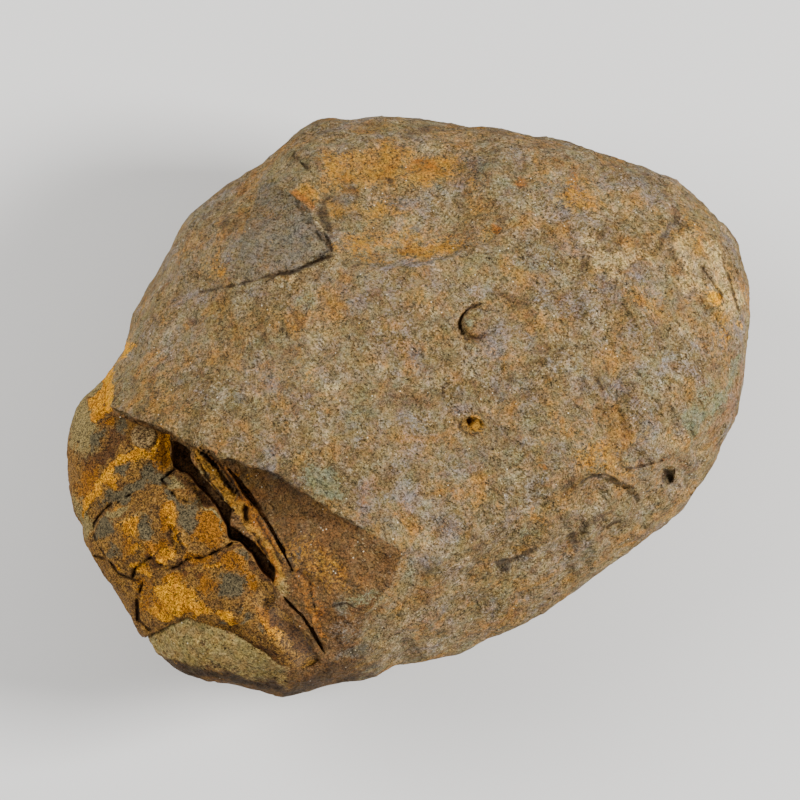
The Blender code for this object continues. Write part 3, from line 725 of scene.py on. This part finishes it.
         (-8.1, 16.2), (-9, 15.4), (-11, 14.4), (-12.5, 13.8), (-14.5, 13.5), (-16.9, 12.9), (-17.8, 14),
         (-18.2, 16.2), (-17.2, 19.1), (-16, 22.1)], 0.8),
    ]),
    "green": ([
        (-9.1, -8.1, 2.7, 2.1, 0.95, -32), (30.1, 17, 0.6, 1, 0.8, -20), (26.1, 19.6, 0.7, 0.6, 0.7),
        (29.6, -1.6, 1.7, 1.4, 0.8, 35), (21.9, -5.8, 2.1, 0.8, 0.6), (12.4, -13.5, 1.6, 0.6, 0.8),
        (-10.9, 11, 1.9, 1.1, 0.7), (-9.5, 1.9, 1.1, 0.8, 0.6), (-4.9, -20.3, 1.9, 0.8, 0.7, 10),
        (30.6, 1, 1.5, 1.1, 0.5), (-17.7, 4.7, 2.1, 1.3, 0.3), (-18.5, 16.4, 1.7, 0.8, 0.5),
        (5.4, -12.1, 2.1, 1.1, 0.35, -30), (-11.9, -24.7, 1.3, 0.8, 0.3), (6.4, 8.6, 0.8, 0.8, 0.7),
    ], [([(34.8, 4.7), (34.1, 3.3), (33.1, 1.2), (31.9, -0.8), (29.6, -3.3)], 0.32, 0.9)]),
    "crust": ([
        (-23.5, -25.6, 4.6, 2.2, 1, -18), (-18.6, -26.6, 4.8, 2, 1, -16), (-26.6, -23.6, 2, 1.5, 1, -30),
        (-14.6, -28, 2.4, 1.2, 0.9, -20), (-13, -19, 0.9, 1.3, 0.7, 30),
    ], [
        ([(-33.2, 3), (-34.3, 0), (-34.8, -4)], 1.2, 1),
        ([(-26.5, -23.8), (-22.1, -23.3), (-18.3, -24.7), (-14.9, -26.7)], 0.9, 1),
    ]),
    "red": ([
        (-4, 3.1, 2.1, 1.3, 0.5), (28.1, -6, 1.5, 0.8, 0.6), (-4.3, -9.2, 1.3, 2.3, 0.5),
        (-8.2, 16.2, 1.5, 0.6, 0.3), (10.1, 21.5, 2.1, 1.1, 0.4), (2.3, -22.6, 3.1, 1.1, 0.4, 10),
        (15.9, -20.5, 2.1, 0.8, 0.3, 30), (-24, 0.5, 1.5, 1.9, 0.35),
    ], [([(35.2, 3.6), (34.6, 2), (33.8, -0.6), (31.9, -3.5)], 0.53, 0.8)]),
}


def carveNodule(mesh, ground):
    points = getPoints(mesh)
    flat = seen(points)
    facing = smoothstep(0.15, 0.5, getNormals(mesh)[:, 2])
    relief = steps(flat, faceMarks["flakes"], 0.12)
    (x, y), radius, height = faceMarks["blister"]
    reach = np.hypot((flat[:, 0] - x) * np.where(flat[:, 0] > x, 0.6, 1), flat[:, 1] - y) / radius
    relief += domeOver(reach, height)
    relief -= faceMarks["moat"] * bell(reach - 1.06, 0.08) * smoothstep(0.6, -0.2, flat[:, 0] - x)
    (x, y), radius, rim, hole, holeRadius, depth = faceMarks["ringPit"]
    reach = np.hypot(flat[:, 0] - x, (flat[:, 1] - y) * 1.5) / radius
    relief += rim * bell(reach - 1.15, 0.15)
    relief -= faceMarks["moat"] * smoothstep(1.0, 0.8, reach)
    relief -= depth * smoothstep(1.2, 0.5, farFrom(hole, flat) / holeRadius)
    path, pitch, halfWidth, depth = breakage["combs"]
    comb = smoothstep(1.6, 0.6, pathDistance(flat, path) / halfWidth)
    relief -= depth * comb * (0.5 + 0.5 * np.sin(2 * np.pi * (flat[:, 0] - 0.6 * flat[:, 1]) / pitch))
    deepest, share = grooves(flat, faceMarks["cracks"] + breakage["ribGrooves"], 0.12)
    points[:, 2] += (relief + deepest) * facing
    x, y = flat.T
    slanting = np.column_stack([(x + 0.45 * y) / 1.1, (0.45 * x - y) / 6.5])
    chips = np.abs(wander(flat, 4.2, 6.0)) - 0.8 * np.abs(wander(flat, 2.1, 15.0))
    rough = 0.35 + 0.65 * smoothstep(2.0, 16.0, x)
    streaks = faceMarks["streaks"] * wander(slanting, 1.0, 4.0) * smoothstep(4.0, 20.0, x)
    points[:, 2] += (streaks + faceMarks["chips"] * rough * chips) * facing
    setPoints(mesh, points)
    # where the cracks lie; the finish paints shade into them there
    addField(mesh, "crackShade", share * facing)
    # deep: how far down in the gap and slots a point lies; the finish paints these walls lighter there,
    # painted light in the shade of the gap
    level = groundHeight(ground, points[:, :2])
    inGap = smoothstep(0.5, 0.0, edgeDistance(flat, breakage["gap"]))
    for path, halfWidths, _ in breakage["slots"]:
        inGap = np.maximum(inGap, smoothstep(1.0, 0.6, pathDistance(flat, path)))
    addField(mesh, "deep", inGap * smoothstep(0.6, 2.2, level - points[:, 2]) * (points[:, 2] > 0))
    wandering = heightOverMiddle(points) + 2.5 * wander(flat, 3.0, 31.0)
    broken = smoothstep(0.3, -0.3, edgeDistance(flat, breakage["edge"])) * smoothstep(-4.5, 0.5, wandering)
    addField(mesh, "broken", broken)
    addStains(mesh, flat, nodulePatches)


def makeNodule():
    lowered = ballMesh(brokenForm, 7, 0.80)
    ground = BVHTree.FromBMesh(lowered)
    whole = ballMesh(stoneForm, 7, 2)
    corner = raggedOutline(onSurface(breakage["edge"], BVHTree.FromBMesh(whole)), 0.8, 0.45, 2.0)
    block = stackRings([levelRing(corner, level) for level in (stone["cutTop"], 0.8)])
    missing = meshObject("missingCorner", block)
    combine(missing, meshObject("brokenLevel", lowered))
    obj = meshObject("stoneNodule", whole)
    combine(obj, missing)
    combine(obj, meshObject("pocket", headBlock(ground, fossil["seam"])))
    gap = raggedOutline(onSurface(breakage["gap"], ground), 0.6, 0.25, 9.0)
    combine(obj, meshObject("gap", sunkBlock(gap, ground, breakage["gapDepth"], breakage["gapLeaning"])))
    remesh(obj, stone["voxel"])
    print("stage: nodule cut,", countTriangles(obj.data), "triangles")
    thin(obj, stone["triangles"])
    refine(obj.data, heightOverMiddle(getPoints(obj.data)) > 3)
    points = getPoints(obj.data)
    flat = seen(points)
    fine = np.zeros(len(flat), bool)
    marks = [faceMarks["blister"][0], faceMarks["ringPit"][0]]
    tail = [(-10.5, -22), (-9, -25)]
    for path, reach in [(breakage["gap"][5:14] + tail, 2.6), (breakage["slots"][0][0], 1.6), (marks, 2.2),
                        ([(-22.3, -4.5), (-18, -10.5)], 2), *((c[0], 0.7) for c in faceMarks["cracks"])]:
        fine |= pathDistance(flat, path) < reach
    refine(obj.data, fine & (heightOverMiddle(points) > 2))
    for path, halfWidths, depth in breakage["slots"]:
        strip = stripOutline(onSurface(path, ground), halfWidths)
        combine(obj, meshObject("slot", sunkBlock(strip, ground, depth)))
    carveNodule(obj.data, ground)
    placeInWorld(obj.data)
    print("stage: nodule carved,", countTriangles(obj.data), "triangles")
    return obj, ground


# stains of the fossil, given in the same way
fossilPatches = {
    "slate": ([
        (-29.4, -9, 3.4, 0.85, 1, 27), (-27, -7, 0.9, 1.2, 1, 10), (-26, -8, 1.1, 0.7, 1),
        (-30.4, -6.75, 0.45, 0.6, 0.8), (-33, -3.8, 1.4, 0.7, 0.9, 30), (-30.2, -2.3, 0.6, 0.9, 0.8),
        (-31, -1.4, 0.9, 0.5, 0.5), (-31.9, -12.9, 0.9, 1.5, 1), (-27.5, -13.2, 1, 1.3, 1),
        (-24.6, -9.9, 1.3, 0.55, 1, -50), (-23, -12.1, 1.15, 1.9, 1, 10), (-27.3, -11.1, 0.8, 0.5, 0.5),
        (-18.6, -18.8, 1.75, 1.6, 1), (-17.1, -22.5, 0.9, 0.5, 0.7), (-19.9, -22.8, 0.5, 0.3, 0.8),
        (-24.6, -23.6, 0.7, 0.3, 0.8), (-18, -21.2, 0.9, 0.5, 0.5), (-15.4, -23.7, 0.5, 0.9, 0.5, 40),
        (-31.2, -15.3, 1.2, 0.6, 0.7, -20), (-17.4, -15.9, 1.2, 0.7, 0.5, -50),
    ], []),
    "yellow": ([
        (-29.1, -5.6, 1.5, 0.7, 1, 12), (-31.5, -8, 1, 0.9, 1, 40), (-32.8, -9, 1.4, 0.6, 1, 40),
        (-27.4, -5.2, 1.2, 0.6, 0.6, -20), (-29.5, -13.1, 1.3, 1.2, 0.75),
        (-25.1, -11.8, 1.9, 0.7, 0.6, -66), (-24.7, -20.3, 2.7, 2.1, 1, -12), (-26.2, -22, 1.2, 1, 1),
        (-20.4, -16.7, 1.3, 0.4, 0.75, 22), (-19.6, -22, 1.7, 0.5, 0.7, -20), (-28.6, -15.2, 1, 0.9, 0.5),
        (-25.6, -16, 1.6, 0.6, 0.6), (-21.8, -21.4, 1.4, 0.9, 0.7, -20), (-14.4, -23.7, 1.7, 0.5, 0.6, -50),
        (-30.2, -17.2, 0.8, 0.4, 0.7, -40), (-28, -17.4, 1.2, 0.5, 0.7, -20),
        (-30.5, -10.6, 0.5, 0.3, 0.4, 30), (-28.3, -20.4, 0.8, 1.6, 0.5),
    ], [
        ([(-30.4, 6.2), (-31.5, 4.1), (-32, 2.4), (-32.2, 0.7), (-32.6, -1.3)], 0.6, 1),
        ([(-30.4, -5.6), (-31.2, -6.3), (-31.3, -7.4)], 0.35, 1),
        ([(-33.4, -9.8), (-34.2, -10.9)], 0.4, 0.8),
        ([(-25.2, -2.9), (-25.2, -4.4), (-25, -5.9)], 0.3, 1),
        # painted highlight along the top of a narrow ridge
        ([(-24.9, -12.9), (-23.9, -14), (-23.5, -15.1)], 0.16, 0.7),
        ([(-29, -4.6), (-28.2, -4.9), (-27.2, -4.9), (-26.4, -4.3)], 0.22, 0.8),
    ]),
    "orange": ([
        (-25.7, -5, 1.1, 2.2, 1), (-25.3, -11.9, 0.9, 2.1, 1, 20), (-20.8, -13.1, 2, 1.9, 1),
        (-33.4, -7.5, 1.5, 2.4, 0.8, -10), (-31.4, -2.2, 0.6, 0.5, 0.8), (-18.3, -16.4, 1.9, 0.7, 0.7, -30),
        (-17, -18.2, 0.6, 2.2, 0.8, 25), (-21.2, -18.6, 1, 2, 0.6), (-14.9, -22.6, 2.2, 0.9, 0.8, -50),
        (-26.3, -15.4, 1.9, 1.2, 0.8), (-29.5, -14.8, 1.3, 1.6, 0.6), (-22, -16.2, 1.7, 0.5, 0.8, 5),
        (-27.6, -20, 1.5, 2.5, 0.6), (-24.4, -18.4, 2.6, 0.8, 0.7, 10),
    ], []),
    "olive": ([
        (-34.4, -1.6, 1.7, 4.4, 1, 8), (-33.2, 2, 1, 2.4, 1, -22), (-34.3, -12.6, 1.3, 3.2, 0.9),
        (-24.4, -8.1, 1.1, 0.95, 1, -40), (-30.6, -11.1, 1.9, 0.5, 0.7, 27),
        (-28.2, -12, 1.6, 0.7, 0.5, 10), (-16.5, -18, 0.8, 1.2, 0.3, 30), (-30.4, -12.4, 1, 0.6, 0.5),
    ], [([(-22.6, -10.3), (-20.8, -11.3), (-19.7, -12.1), (-19.2, -13.1)], 0.14, 0.8)]),
    "umber": ([
        (-30, -1, 2.1, 0.8, 1, -20), (-26.5, -2.2, 1.4, 0.3, 1, -22), (-30.6, -3.6, 1.4, 0.9, 0.75, 30),
        # the second patch on this line lies along the furrow beside that narrow ridge: painted shade in it
        (-32.1, -5.2, 1.9, 0.7, 0.75, 30), (-24.7, -14.2, 1.3, 0.35, 0.9, -65),
        (-23.8, -16.9, 1.3, 0.4, 0.9, 15), (-15.7, -17.4, 2.3, 0.6, 0.8, -55),
        (-12.2, -24.3, 3.4, 0.9, 0.95, -50), (-21.9, -9.9, 1.3, 0.7, 0.9, -30),
        (-14.8, -26, 1.9, 0.6, 0.8, -30), (-28.6, -21.6, 0.6, 2, 0.5), (-22.4, -17.9, 1.6, 0.8, 0.5),
        (-33.6, -5.8, 1.2, 1.4, 0.5), (-19, -15.4, 1.6, 0.3, 0.6, 30),
    ], [
        ([(-24.6, -7.1), (-23, -7.9), (-21.6, -9.5)], 0.3, 0.6), ([(-26.4, -16.8), (-27.2, -16.1)], 0.3,
        0.8),
    ]),
}


def carveFossil(mesh):
    points = getPoints(mesh)
    flat = seen(points)
    normals = getNormals(mesh)
    facing = smoothstep(0.1, 0.45, normals[:, 2])
    relief = steps(flat, fossil["plates"], 0.08)
    middle, radius, height = fossil["eye"]
    reach = farFrom(middle, flat) / radius
    relief += domeOver(reach, height)
    relief -= 0.16 * bell(reach - 1.1, 0.12)
    deepest, share = grooves(flat, fossil["cracks"], 0.2)
    for path, halfWidth, height in fossil["ridges"]:
        relief += height * bell(pathDistance(flat, path), halfWidth)
    for path, halfWidth, depth in fossil["furrows"]:
        relief -= depth * bell(pathDistance(flat, path), halfWidth)
    points[:, 2] += (relief + deepest) * facing
    setPoints(mesh, points)
    # where the cracks lie; the finish paints shade into them there
    addField(mesh, "crackShade", share * facing)
    addField(mesh, "eye", smoothstep(1.05, 0.9, reach))
    addField(mesh, "sheen", smoothstep(2.2, 1.0, pathDistance(flat, fossil["channel"])))
    # deep: the fossil's steep walls down in the gap, which the finish covers with painted shade
    wall = smoothstep(-0.1, -0.9, edgeDistance(flat, fossil["edge"]))
    addField(mesh, "deep", (1 - wall) * smoothstep(0.45, 0.15, normals[:, 2]) * (points[:, 2] > -2))
    addStains(mesh, flat, fossilPatches)


def makeFossil(ground):
    obj = meshObject("fossilHead", ballMesh(fossilForm, 7, 0.72))
    combine(obj, meshObject("headBlock", headBlock(ground, 0)), "INTERSECT")
    remesh(obj, fossil["voxel"])
    print("stage: fossil cut,", countTriangles(obj.data), "triangles")
    thin(obj, fossil["triangles"])
    carveFossil(obj.data)
    placeInWorld(obj.data)
    print("stage: fossil carved,", countTriangles(obj.data), "triangles")
    return obj


class NodeKit:
    def __init__(self, tree):
        self.tree = tree

    def put(self, socket, value):
        if isinstance(value, bpy.types.NodeSocket):
            self.tree.links.new(value, socket)
        else:
            socket.default_value = value

    def add(self, kind, inputs={}, output=0, **settings):
        # each input is a value or another node's output
        node = self.tree.nodes.new(kind)
        for name, value in settings.items():
            setattr(node, name, value)
        for name, value in inputs.items():
            self.put(node.inputs[name], value)
        return node.outputs[output]

    def math(self, operation, a, b=0.0):
        return self.add("ShaderNodeMath", {0: a, 1: b}, operation=operation)

    def times(self, a, b):
        return self.math("MULTIPLY", a, b)

    def minus(self, a, b):
        return self.math("SUBTRACT", a, b)


# every surface is roughened by the same tree of nodes, each with its own sizes
weathering = {
    "stoneNodule": {"Lump Height": 0.22, "Lump Size": 1.5, "Grain Height": 0.13, "Grain Size": 0.55,
                    "Pit Depth": 0.18, "Pit Size": 1.1, "Foot Level": 0.0},
    "fossilHead": {"Lump Height": 0.10, "Lump Size": 1.1, "Grain Height": 0.06, "Grain Size": 0.4,
                   "Pit Depth": 0.07, "Pit Size": 0.7, "Foot Level": 0.0},
}


def makeWeatherTree():
    tree = bpy.data.node_groups.new("weatherSurface", "GeometryNodeTree")
    sizes = [(name, "Float") for name in weathering["stoneNodule"]]
    for name, kind in [("Geometry", "Geometry"), *sizes, ("Finish", "Material")]:
        tree.interface.new_socket(name, in_out="INPUT", socket_type="NodeSocket" + kind)
    tree.interface.new_socket("Geometry", in_out="OUTPUT", socket_type="NodeSocketGeometry")
    start = tree.nodes.new("NodeGroupInput").outputs
    kit = NodeKit(tree)
    position = kit.add("GeometryNodeInputPosition")

    def scaledPosition(size):
        scale = kit.math("DIVIDE", 1000.0, start[size])
        return kit.add("ShaderNodeVectorMath", {0: position, "Scale": scale}, operation="SCALE")

    def wave(name, detail):
        level = kit.add("ShaderNodeTexNoise", {"Vector": scaledPosition(name + " Size"), "Scale": 1.0,
                                               "Detail": detail, "Roughness": 0.6})
        return kit.times(kit.minus(level, 0.5), kit.times(start[name + " Height"], 2.0))

    waves = kit.math("ADD", wave("Lump", 2.0), wave("Grain", 1.0))
    cells = kit.add("ShaderNodeTexVoronoi", {"Vector": scaledPosition("Pit Size"), "Scale": 1.0}, "Distance")
    bowl = kit.math("MAXIMUM", kit.minus(0.32, cells), 0.0)
    total = kit.minus(waves, kit.times(kit.times(bowl, 3.0), start["Pit Depth"]))
    normal = kit.add("GeometryNodeInputNormal")
    offset = kit.add("ShaderNodeVectorMath", {0: normal, "Scale": kit.times(total, mm)}, operation="SCALE")
    moved = kit.add("GeometryNodeSetPosition", {"Geometry": start["Geometry"], "Offset": offset})
    # nothing hangs below the flat foot
    parts = tree.nodes.new("ShaderNodeSeparateXYZ")
    kit.put(parts.inputs[0], position)
    level = kit.math("MAXIMUM", parts.outputs["Z"], start["Foot Level"])
    place = kit.add("ShaderNodeCombineXYZ", {0: parts.outputs["X"], 1: parts.outputs["Y"], 2: level})
    stand = kit.add("GeometryNodeSetPosition", {"Geometry": moved, "Position": place})
    real = kit.add("GeometryNodeRealizeInstances", {0: stand})
    finished = kit.add("GeometryNodeSetMaterial", {"Geometry": real, "Material": start["Finish"]})
    kit.put(tree.nodes.new("NodeGroupOutput").inputs["Geometry"], finished)
    return tree


def weather(obj, tree, material):
    step = obj.modifiers.new("Weathering", "NODES")
    step.node_group = tree
    values = dict(weathering[obj.name], Finish=material)
    for item in tree.interface.items_tree:
        if item.in_out == "INPUT" and item.name in values:
            step[item.identifier] = values[item.name]
    settle(obj)
    obj.data.polygons.foreach_set("use_smooth", [True] * len(obj.data.polygons))


def srgb(r, g, b):
    linear = [(c / 255 / 12.92) if c <= 10 else ((c / 255 + 0.055) / 1.055) ** 2.4 for c in (r, g, b)]
    return (*linear, 1.0)


class Finish(NodeKit):
    def __init__(self, name):
        self.material = bpy.data.materials.new(name)
        self.material.use_nodes = True
        NodeKit.__init__(self, self.material.node_tree)
        self.shader = self.tree.nodes["Principled BSDF"]
        place = self.add("ShaderNodeTexCoord", {}, "Object")
        self.place = self.add("ShaderNodeMapping", {"Vector": place, "Scale": (1000, 1000, 1000)})

    def noise(self, size, detail=3.0, roughness=0.6, distortion=0.0, shift=0.0, turn=0, length=1):
        place = self.place
        if shift:
            place = self.add("ShaderNodeMapping", {
                "Vector": place, "Location": (shift, shift * 0.7, -shift),
                "Rotation": (0, 0, math.radians(turn)), "Scale": (length, 1, 1)}, vector_type="TEXTURE")
        return self.add("ShaderNodeTexNoise", {"Vector": place, "Scale": 1 / size, "Detail": detail,
                                               "Roughness": roughness, "Distortion": distortion})

    def cells(self, size, output="Distance"):
        return self.add("ShaderNodeTexVoronoi", {"Vector": self.place, "Scale": 1 / size}, output)

    def grains(self, size):
        # one random value for every grain of sand
        return self.add("ShaderNodeSeparateColor", {0: self.cells(size, "Color")}, "Red")

    def field(self, name):
        return self.add("ShaderNodeAttribute", {}, "Fac", attribute_name=name)

    def band(self, value, low, high):
        return self.add("ShaderNodeMapRange", {"Value": value, "From Min": low, "From Max": high}, "Result",
                        interpolation_type="SMOOTHSTEP")

    def mix(self, share, a, b, blend="MIX"):
        return self.add("ShaderNodeMix", {0: share, 6: a, 7: b}, 2, data_type="RGBA", blend_type=blend)

    def over(self, colour, tint, share, strength):
        # the tint laid over the colour where share is, at most as strong as strength
        return self.mix(self.times(share, strength), colour, tint)

    def toned(self, colour, tone):
        return self.mix(1.0, colour, tone, "MULTIPLY")

    def sum(self, *terms):
        # each term is a value and how much of it, counted from its middle
        total = 0.0
        for value, share in terms:
            total = self.math("ADD", total, self.times(self.minus(value, 0.5), share))
        return total

    def bump(self, *layers):
        last = None
        for height, strength, distance in layers:
            below = {"Normal": last} if last else {}
            last = self.add("ShaderNodeBump", {"Strength": strength, "Distance": distance * mm,
                                               "Height": height, **below})
        self.put(self.shader.inputs["Normal"], last)


sandstone = {
    "ground": [(106, 86, 53), (123, 104, 72)],
    # name, size and shift of each cloud of colour
    "clouds": [("lilac", 5.0, 31.0), ("green", 4.6, 57.0), ("ochre", 4.2, 83.0), ("dark", 2.6, 19.0),
               ("pale", 3.4, 44.0)],
    # which cloud, between which levels it comes in, tint, strength
    "washes": [
        ("pale", 0.0, 0.2, (152, 136, 104), 0.7), ("lilac", -0.02, 0.17, (116, 105, 96), 0.8),
        ("ochre", -0.02, 0.16, (140, 99, 42), 0.8), ("green", 0.02, 0.2, (104, 100, 68), 0.6),
        ("dark", 0.02, 0.18, (84, 61, 40), 0.75),
    ],
    # stain, the cloud that frays it, tint, strength, and low edge and width where they aren't the usual
    "stains": [
        ("broken", "dark", (94, 65, 33), 0.9), ("crust", "green", (135, 114, 66), 0.95),
        ("lilac", "pale", (118, 107, 98), 0.75), ("red", "dark", (122, 84, 54), 0.6),
        # the ochre tint at the end of the next line, and the pale and yellow tints below, also paint light
        # falling on the stone's right end
        ("green", "green", (104, 104, 76), 0.8), ("ochre", "ochre", (150, 104, 32), 0.85),
        ("pale", "pale", (182, 156, 104), 0.65, 0.2, 0.9), ("slate", "green", (100, 90, 73), 0.9),
        # the dark tint on the next line also paints shade: in pits, cracks and the notch, at the foot of the
        # ledge and along the lower rim
        ("dark", "dark", (58, 44, 30), 0.85), ("rust", "ochre", (134, 82, 26), 0.8),
        ("yellow", "ochre", (196, 134, 8), 0.95),
    ],
    "hues": [(0.92, 1, 1.14, 1), (1.07, 1, 0.84, 1)],
    "tones": [(1.03, 0.97, 1.03, 1), (0.97, 1.02, 0.96, 1)],
    # painted light: the lighter browns for the walls deep in the gap and slots
    "hollow": [(122, 88, 56), (184, 140, 92)],
    "glint": (240, 224, 190),
    # painted shade inside the cracks
    "crackShade": (50, 36, 24),
}


def makeSandstone():
    f = Finish("sandstone")
    sand = f.grains(0.19)
    dust = f.grains(0.105)
    clumps = f.noise(0.5, 4, 0.72, shift=5.0)
    streaks = f.noise(0.36, 4, 0.66, 0.0, 13.0, -52, 3.5)
    mottle = f.noise(1.5, 6, 0.7, 0.2)
    hue = f.noise(1.0, 5, 0.68, 0.2, 71.0)
    tone = f.noise(1.3, 5, 0.66, 0.2, 91.0)
    clouds = {name: f.noise(size, 7, 0.68, 0.4, shift) for name, size, shift in sandstone["clouds"]}

    def between(name, value, low, high):
        return f.mix(f.band(value, low, high), *(srgb(*tint) for tint in sandstone[name]))

    broad = f.sum((f.noise(8.0, 4, 0.6), 1.0), (mottle, 0.5), (sand, 0.12))
    colour = between("ground", broad, -0.14, 0.14)
    for name, low, high, tint, strength in sandstone["washes"]:
        share = f.band(f.sum((clouds[name], 1.0), (clumps, 0.35), (sand, 0.12)), low, high)
        colour = f.over(colour, srgb(*tint), share, strength)
    for name, cloud, tint, strength, *edge in sandstone["stains"]:
        low, width = edge or (0.3, 0.62)
        spread = f.math("ADD", f.field(name), f.sum((clouds[cloud], 1.3), (clumps, 1.1), (sand, 0.45)))
        colour = f.over(colour, srgb(*tint), f.band(spread, low, low + width), strength)
    colour = f.toned(colour, f.mix(f.band(hue, 0.36, 0.64), *sandstone["hues"]))
    colour = f.toned(colour, f.mix(f.band(tone, 0.36, 0.64), *sandstone["tones"]))
    # painted light, lifting the shade on the walls deep in the gap and slots
    colour = f.over(colour, between("hollow", mottle, 0.4, 0.6), f.field("deep"), 0.9)
    speckle = f.sum((sand, 0.7), (dust, 1.1), (clumps, 0.8), (streaks, 0.95), (mottle, 0.6))
    colour = f.toned(colour, f.math("MAXIMUM", f.math("ADD", speckle, 1.01), 0.15))
    glint = f.times(f.band(f.cells(0.9), 0.1, 0.06), f.band(f.noise(4.0, 3, shift=3.0), 0.42, 0.6))
    colour = f.over(colour, srgb(*sandstone["glint"]), glint, 0.7)
    # painted shade inside the cracks
    colour = f.over(colour, srgb(*sandstone["crackShade"]), f.field("crackShade"), 0.8)
    f.put(f.shader.inputs["Base Color"], colour)
    f.shader.inputs["Roughness"].default_value = 0.85
    f.shader.inputs["Specular IOR Level"].default_value = 0.15
    dents = f.noise(3.2, 4, 0.6, 0.3, 27.0)
    ridges = f.noise(1.3, 4, 0.62, 0.2, 37.0, -52, 2.6)
    f.bump((dents, 0.8, 2.2), (ridges, 0.8, 0.9), (mottle, 0.5, 0.35), (clumps, 0.7, 0.2),
           (streaks, 0.6, 0.14), (sand, 0.4, 0.05), (dust, 0.4, 0.03))
    return f.material


def makeFossilFinish():
    f = Finish("ironStainedFossil")
    mottle = f.noise(1.6, 8, 0.72, 0.3, 9.0)
    yellowCloud = f.noise(1.3, 8, 0.76, 0.3, 23.0)
    slateCloud = f.noise(1.1, 8, 0.74, 0.2, 47.0)
    umberCloud = f.noise(1.0, 8, 0.76, 0.3, 61.0)
    rustSpecks = f.noise(0.42, 4, 0.75, shift=41.0)
    grit = f.grains(0.18)
    dust = f.grains(0.105)
    goldShare = f.band(f.sum((umberCloud, 1.0), (rustSpecks, 0.6)), -0.12, 0.1)
    gold = f.mix(goldShare, srgb(200, 138, 12), srgb(160, 102, 14))
    colour = f.mix(f.band(f.sum((mottle, 1.0), (grit, 0.2)), -0.1, 0.12), srgb(92, 65, 32), srgb(124, 90, 38))
    for name, cloud, tint, strength in (
            ("orange", yellowCloud, srgb(128, 80, 16), 0.95), ("olive", slateCloud, srgb(116, 100, 60), 0.95),
            # the yellow on the narrow ridge is also a painted highlight, and the umber in the furrow beside
            # it painted shade
            ("yellow", yellowCloud, gold, 0.95), ("umber", umberCloud, srgb(66, 43, 24), 0.85),
            ("slate", slateCloud, srgb(76, 68, 48), 0.95)):
        spread = f.math("ADD", f.field(name), f.sum((cloud, 2.0), (rustSpecks, 1.3), (grit, 0.3)))
        colour = f.over(colour, tint, f.band(spread, 0.32, 0.68), strength)
    calm = f.math("MAXIMUM", f.math("MAXIMUM", f.field("slate"), f.field("olive")), f.field("sheen"))
    specks = f.band(f.sum((rustSpecks, 1.0), (grit, 0.35)), 0.08, 0.18)
    colour = f.over(colour, srgb(66, 38, 12), specks, f.minus(0.8, f.times(calm, 0.75)))
    lens = f.mix(f.band(f.sum((mottle, 1.0), (grit, 0.3)), -0.1, 0.1), srgb(84, 64, 40), srgb(122, 100, 64))
    colour = f.over(colour, lens, f.field("eye"), 0.85)
    shade = f.math("ADD", f.sum((grit, 0.9), (dust, 1.7), (rustSpecks, 0.8)), 0.98)
    colour = f.toned(colour, f.math("MAXIMUM", shade, 0.2))
    # painted shade inside the cracks
    colour = f.over(colour, srgb(36, 24, 14), f.field("crackShade"), 0.85)
    # painted shade: one flat brown over the fossil's steep walls down in the gap
    colour = f.over(colour, srgb(104, 70, 38), f.field("deep"), 0.8)
    f.put(f.shader.inputs["Base Color"], colour)
    f.put(f.shader.inputs["Roughness"], f.minus(0.8, f.times(f.field("sheen"), 0.35)))
    f.put(f.shader.inputs["Specular IOR Level"], f.math("ADD", 0.1, f.times(f.field("sheen"), 0.12)))
    f.bump((mottle, 0.4, 0.25), (rustSpecks, 0.7, 0.14), (grit, 0.5, 0.05), (dust, 0.4, 0.025))
    return f.material


def addToScene(name, data, location):
    obj = bpy.data.objects.new(name, data)
    obj.location = location
    bpy.context.scene.collection.objects.link(obj)
    return obj


def makeStudio():
    rotation = Matrix.Rotation(stone["tilt"], 3, "X")
    target = rotation @ Vector((*studio["lookAt"], 0)) + Vector(stone["faceOrigin"])
    away = rotation @ Vector((0, 0, 1))
    camera = addToScene("camera", bpy.data.cameras.new("camera"), (target + away * studio["distance"]) * mm)
    camera.rotation_euler = rotation.to_euler()
    camera.data.lens = studio["lens"]
    camera.data.clip_start = 0.01
    camera.data.clip_end = 10
    bpy.context.scene.camera = camera
    for name in ("key", "fill"):
        place, size, power = studio[name]
        lamp = addToScene(name, bpy.data.lights.new(name, "AREA"), Vector(place) * mm)
        lamp.data.size = size * mm
        lamp.data.energy = power
        lamp.rotation_euler = (Vector((0, 0, 0.015)) - lamp.location).to_track_quat("-Z", "Y").to_euler()
    world = bpy.data.worlds.new("studio")
    world.use_nodes = True
    sky = world.node_tree.nodes["Background"].inputs
    sky["Color"].default_value = (1, 1, 1, 1)
    sky["Strength"].default_value = studio["sky"]
    bpy.context.scene.world = world
    bm = bmesh.new()
    bmesh.ops.create_grid(bm, x_segments=1, y_segments=1, size=1.5)
    floor = meshObject("floor", bm)
    paper = bpy.data.materials.new("palePaper")
    paper.use_nodes = True
    paper.node_tree.nodes["Principled BSDF"].inputs["Base Color"].default_value = studio["paper"]
    paper.node_tree.nodes["Principled BSDF"].inputs["Roughness"].default_value = 0.9
    floor.data.materials.append(paper)


makeStudio()
print("stage: studio set")
weatherTree = makeWeatherTree()
nodule, ground = makeNodule()
weather(nodule, weatherTree, makeSandstone())
head = makeFossil(ground)
weather(head, weatherTree, makeFossilFinish())
print("stage: surfaces weathered")

for piece, node, slot in ((nodule, "nodule", "sandstone"), (head, "trilobite", "fossil")):
    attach(piece, "root")
    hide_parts(node)
    print("piece", piece.name, countTriangles(piece.data), "triangles")
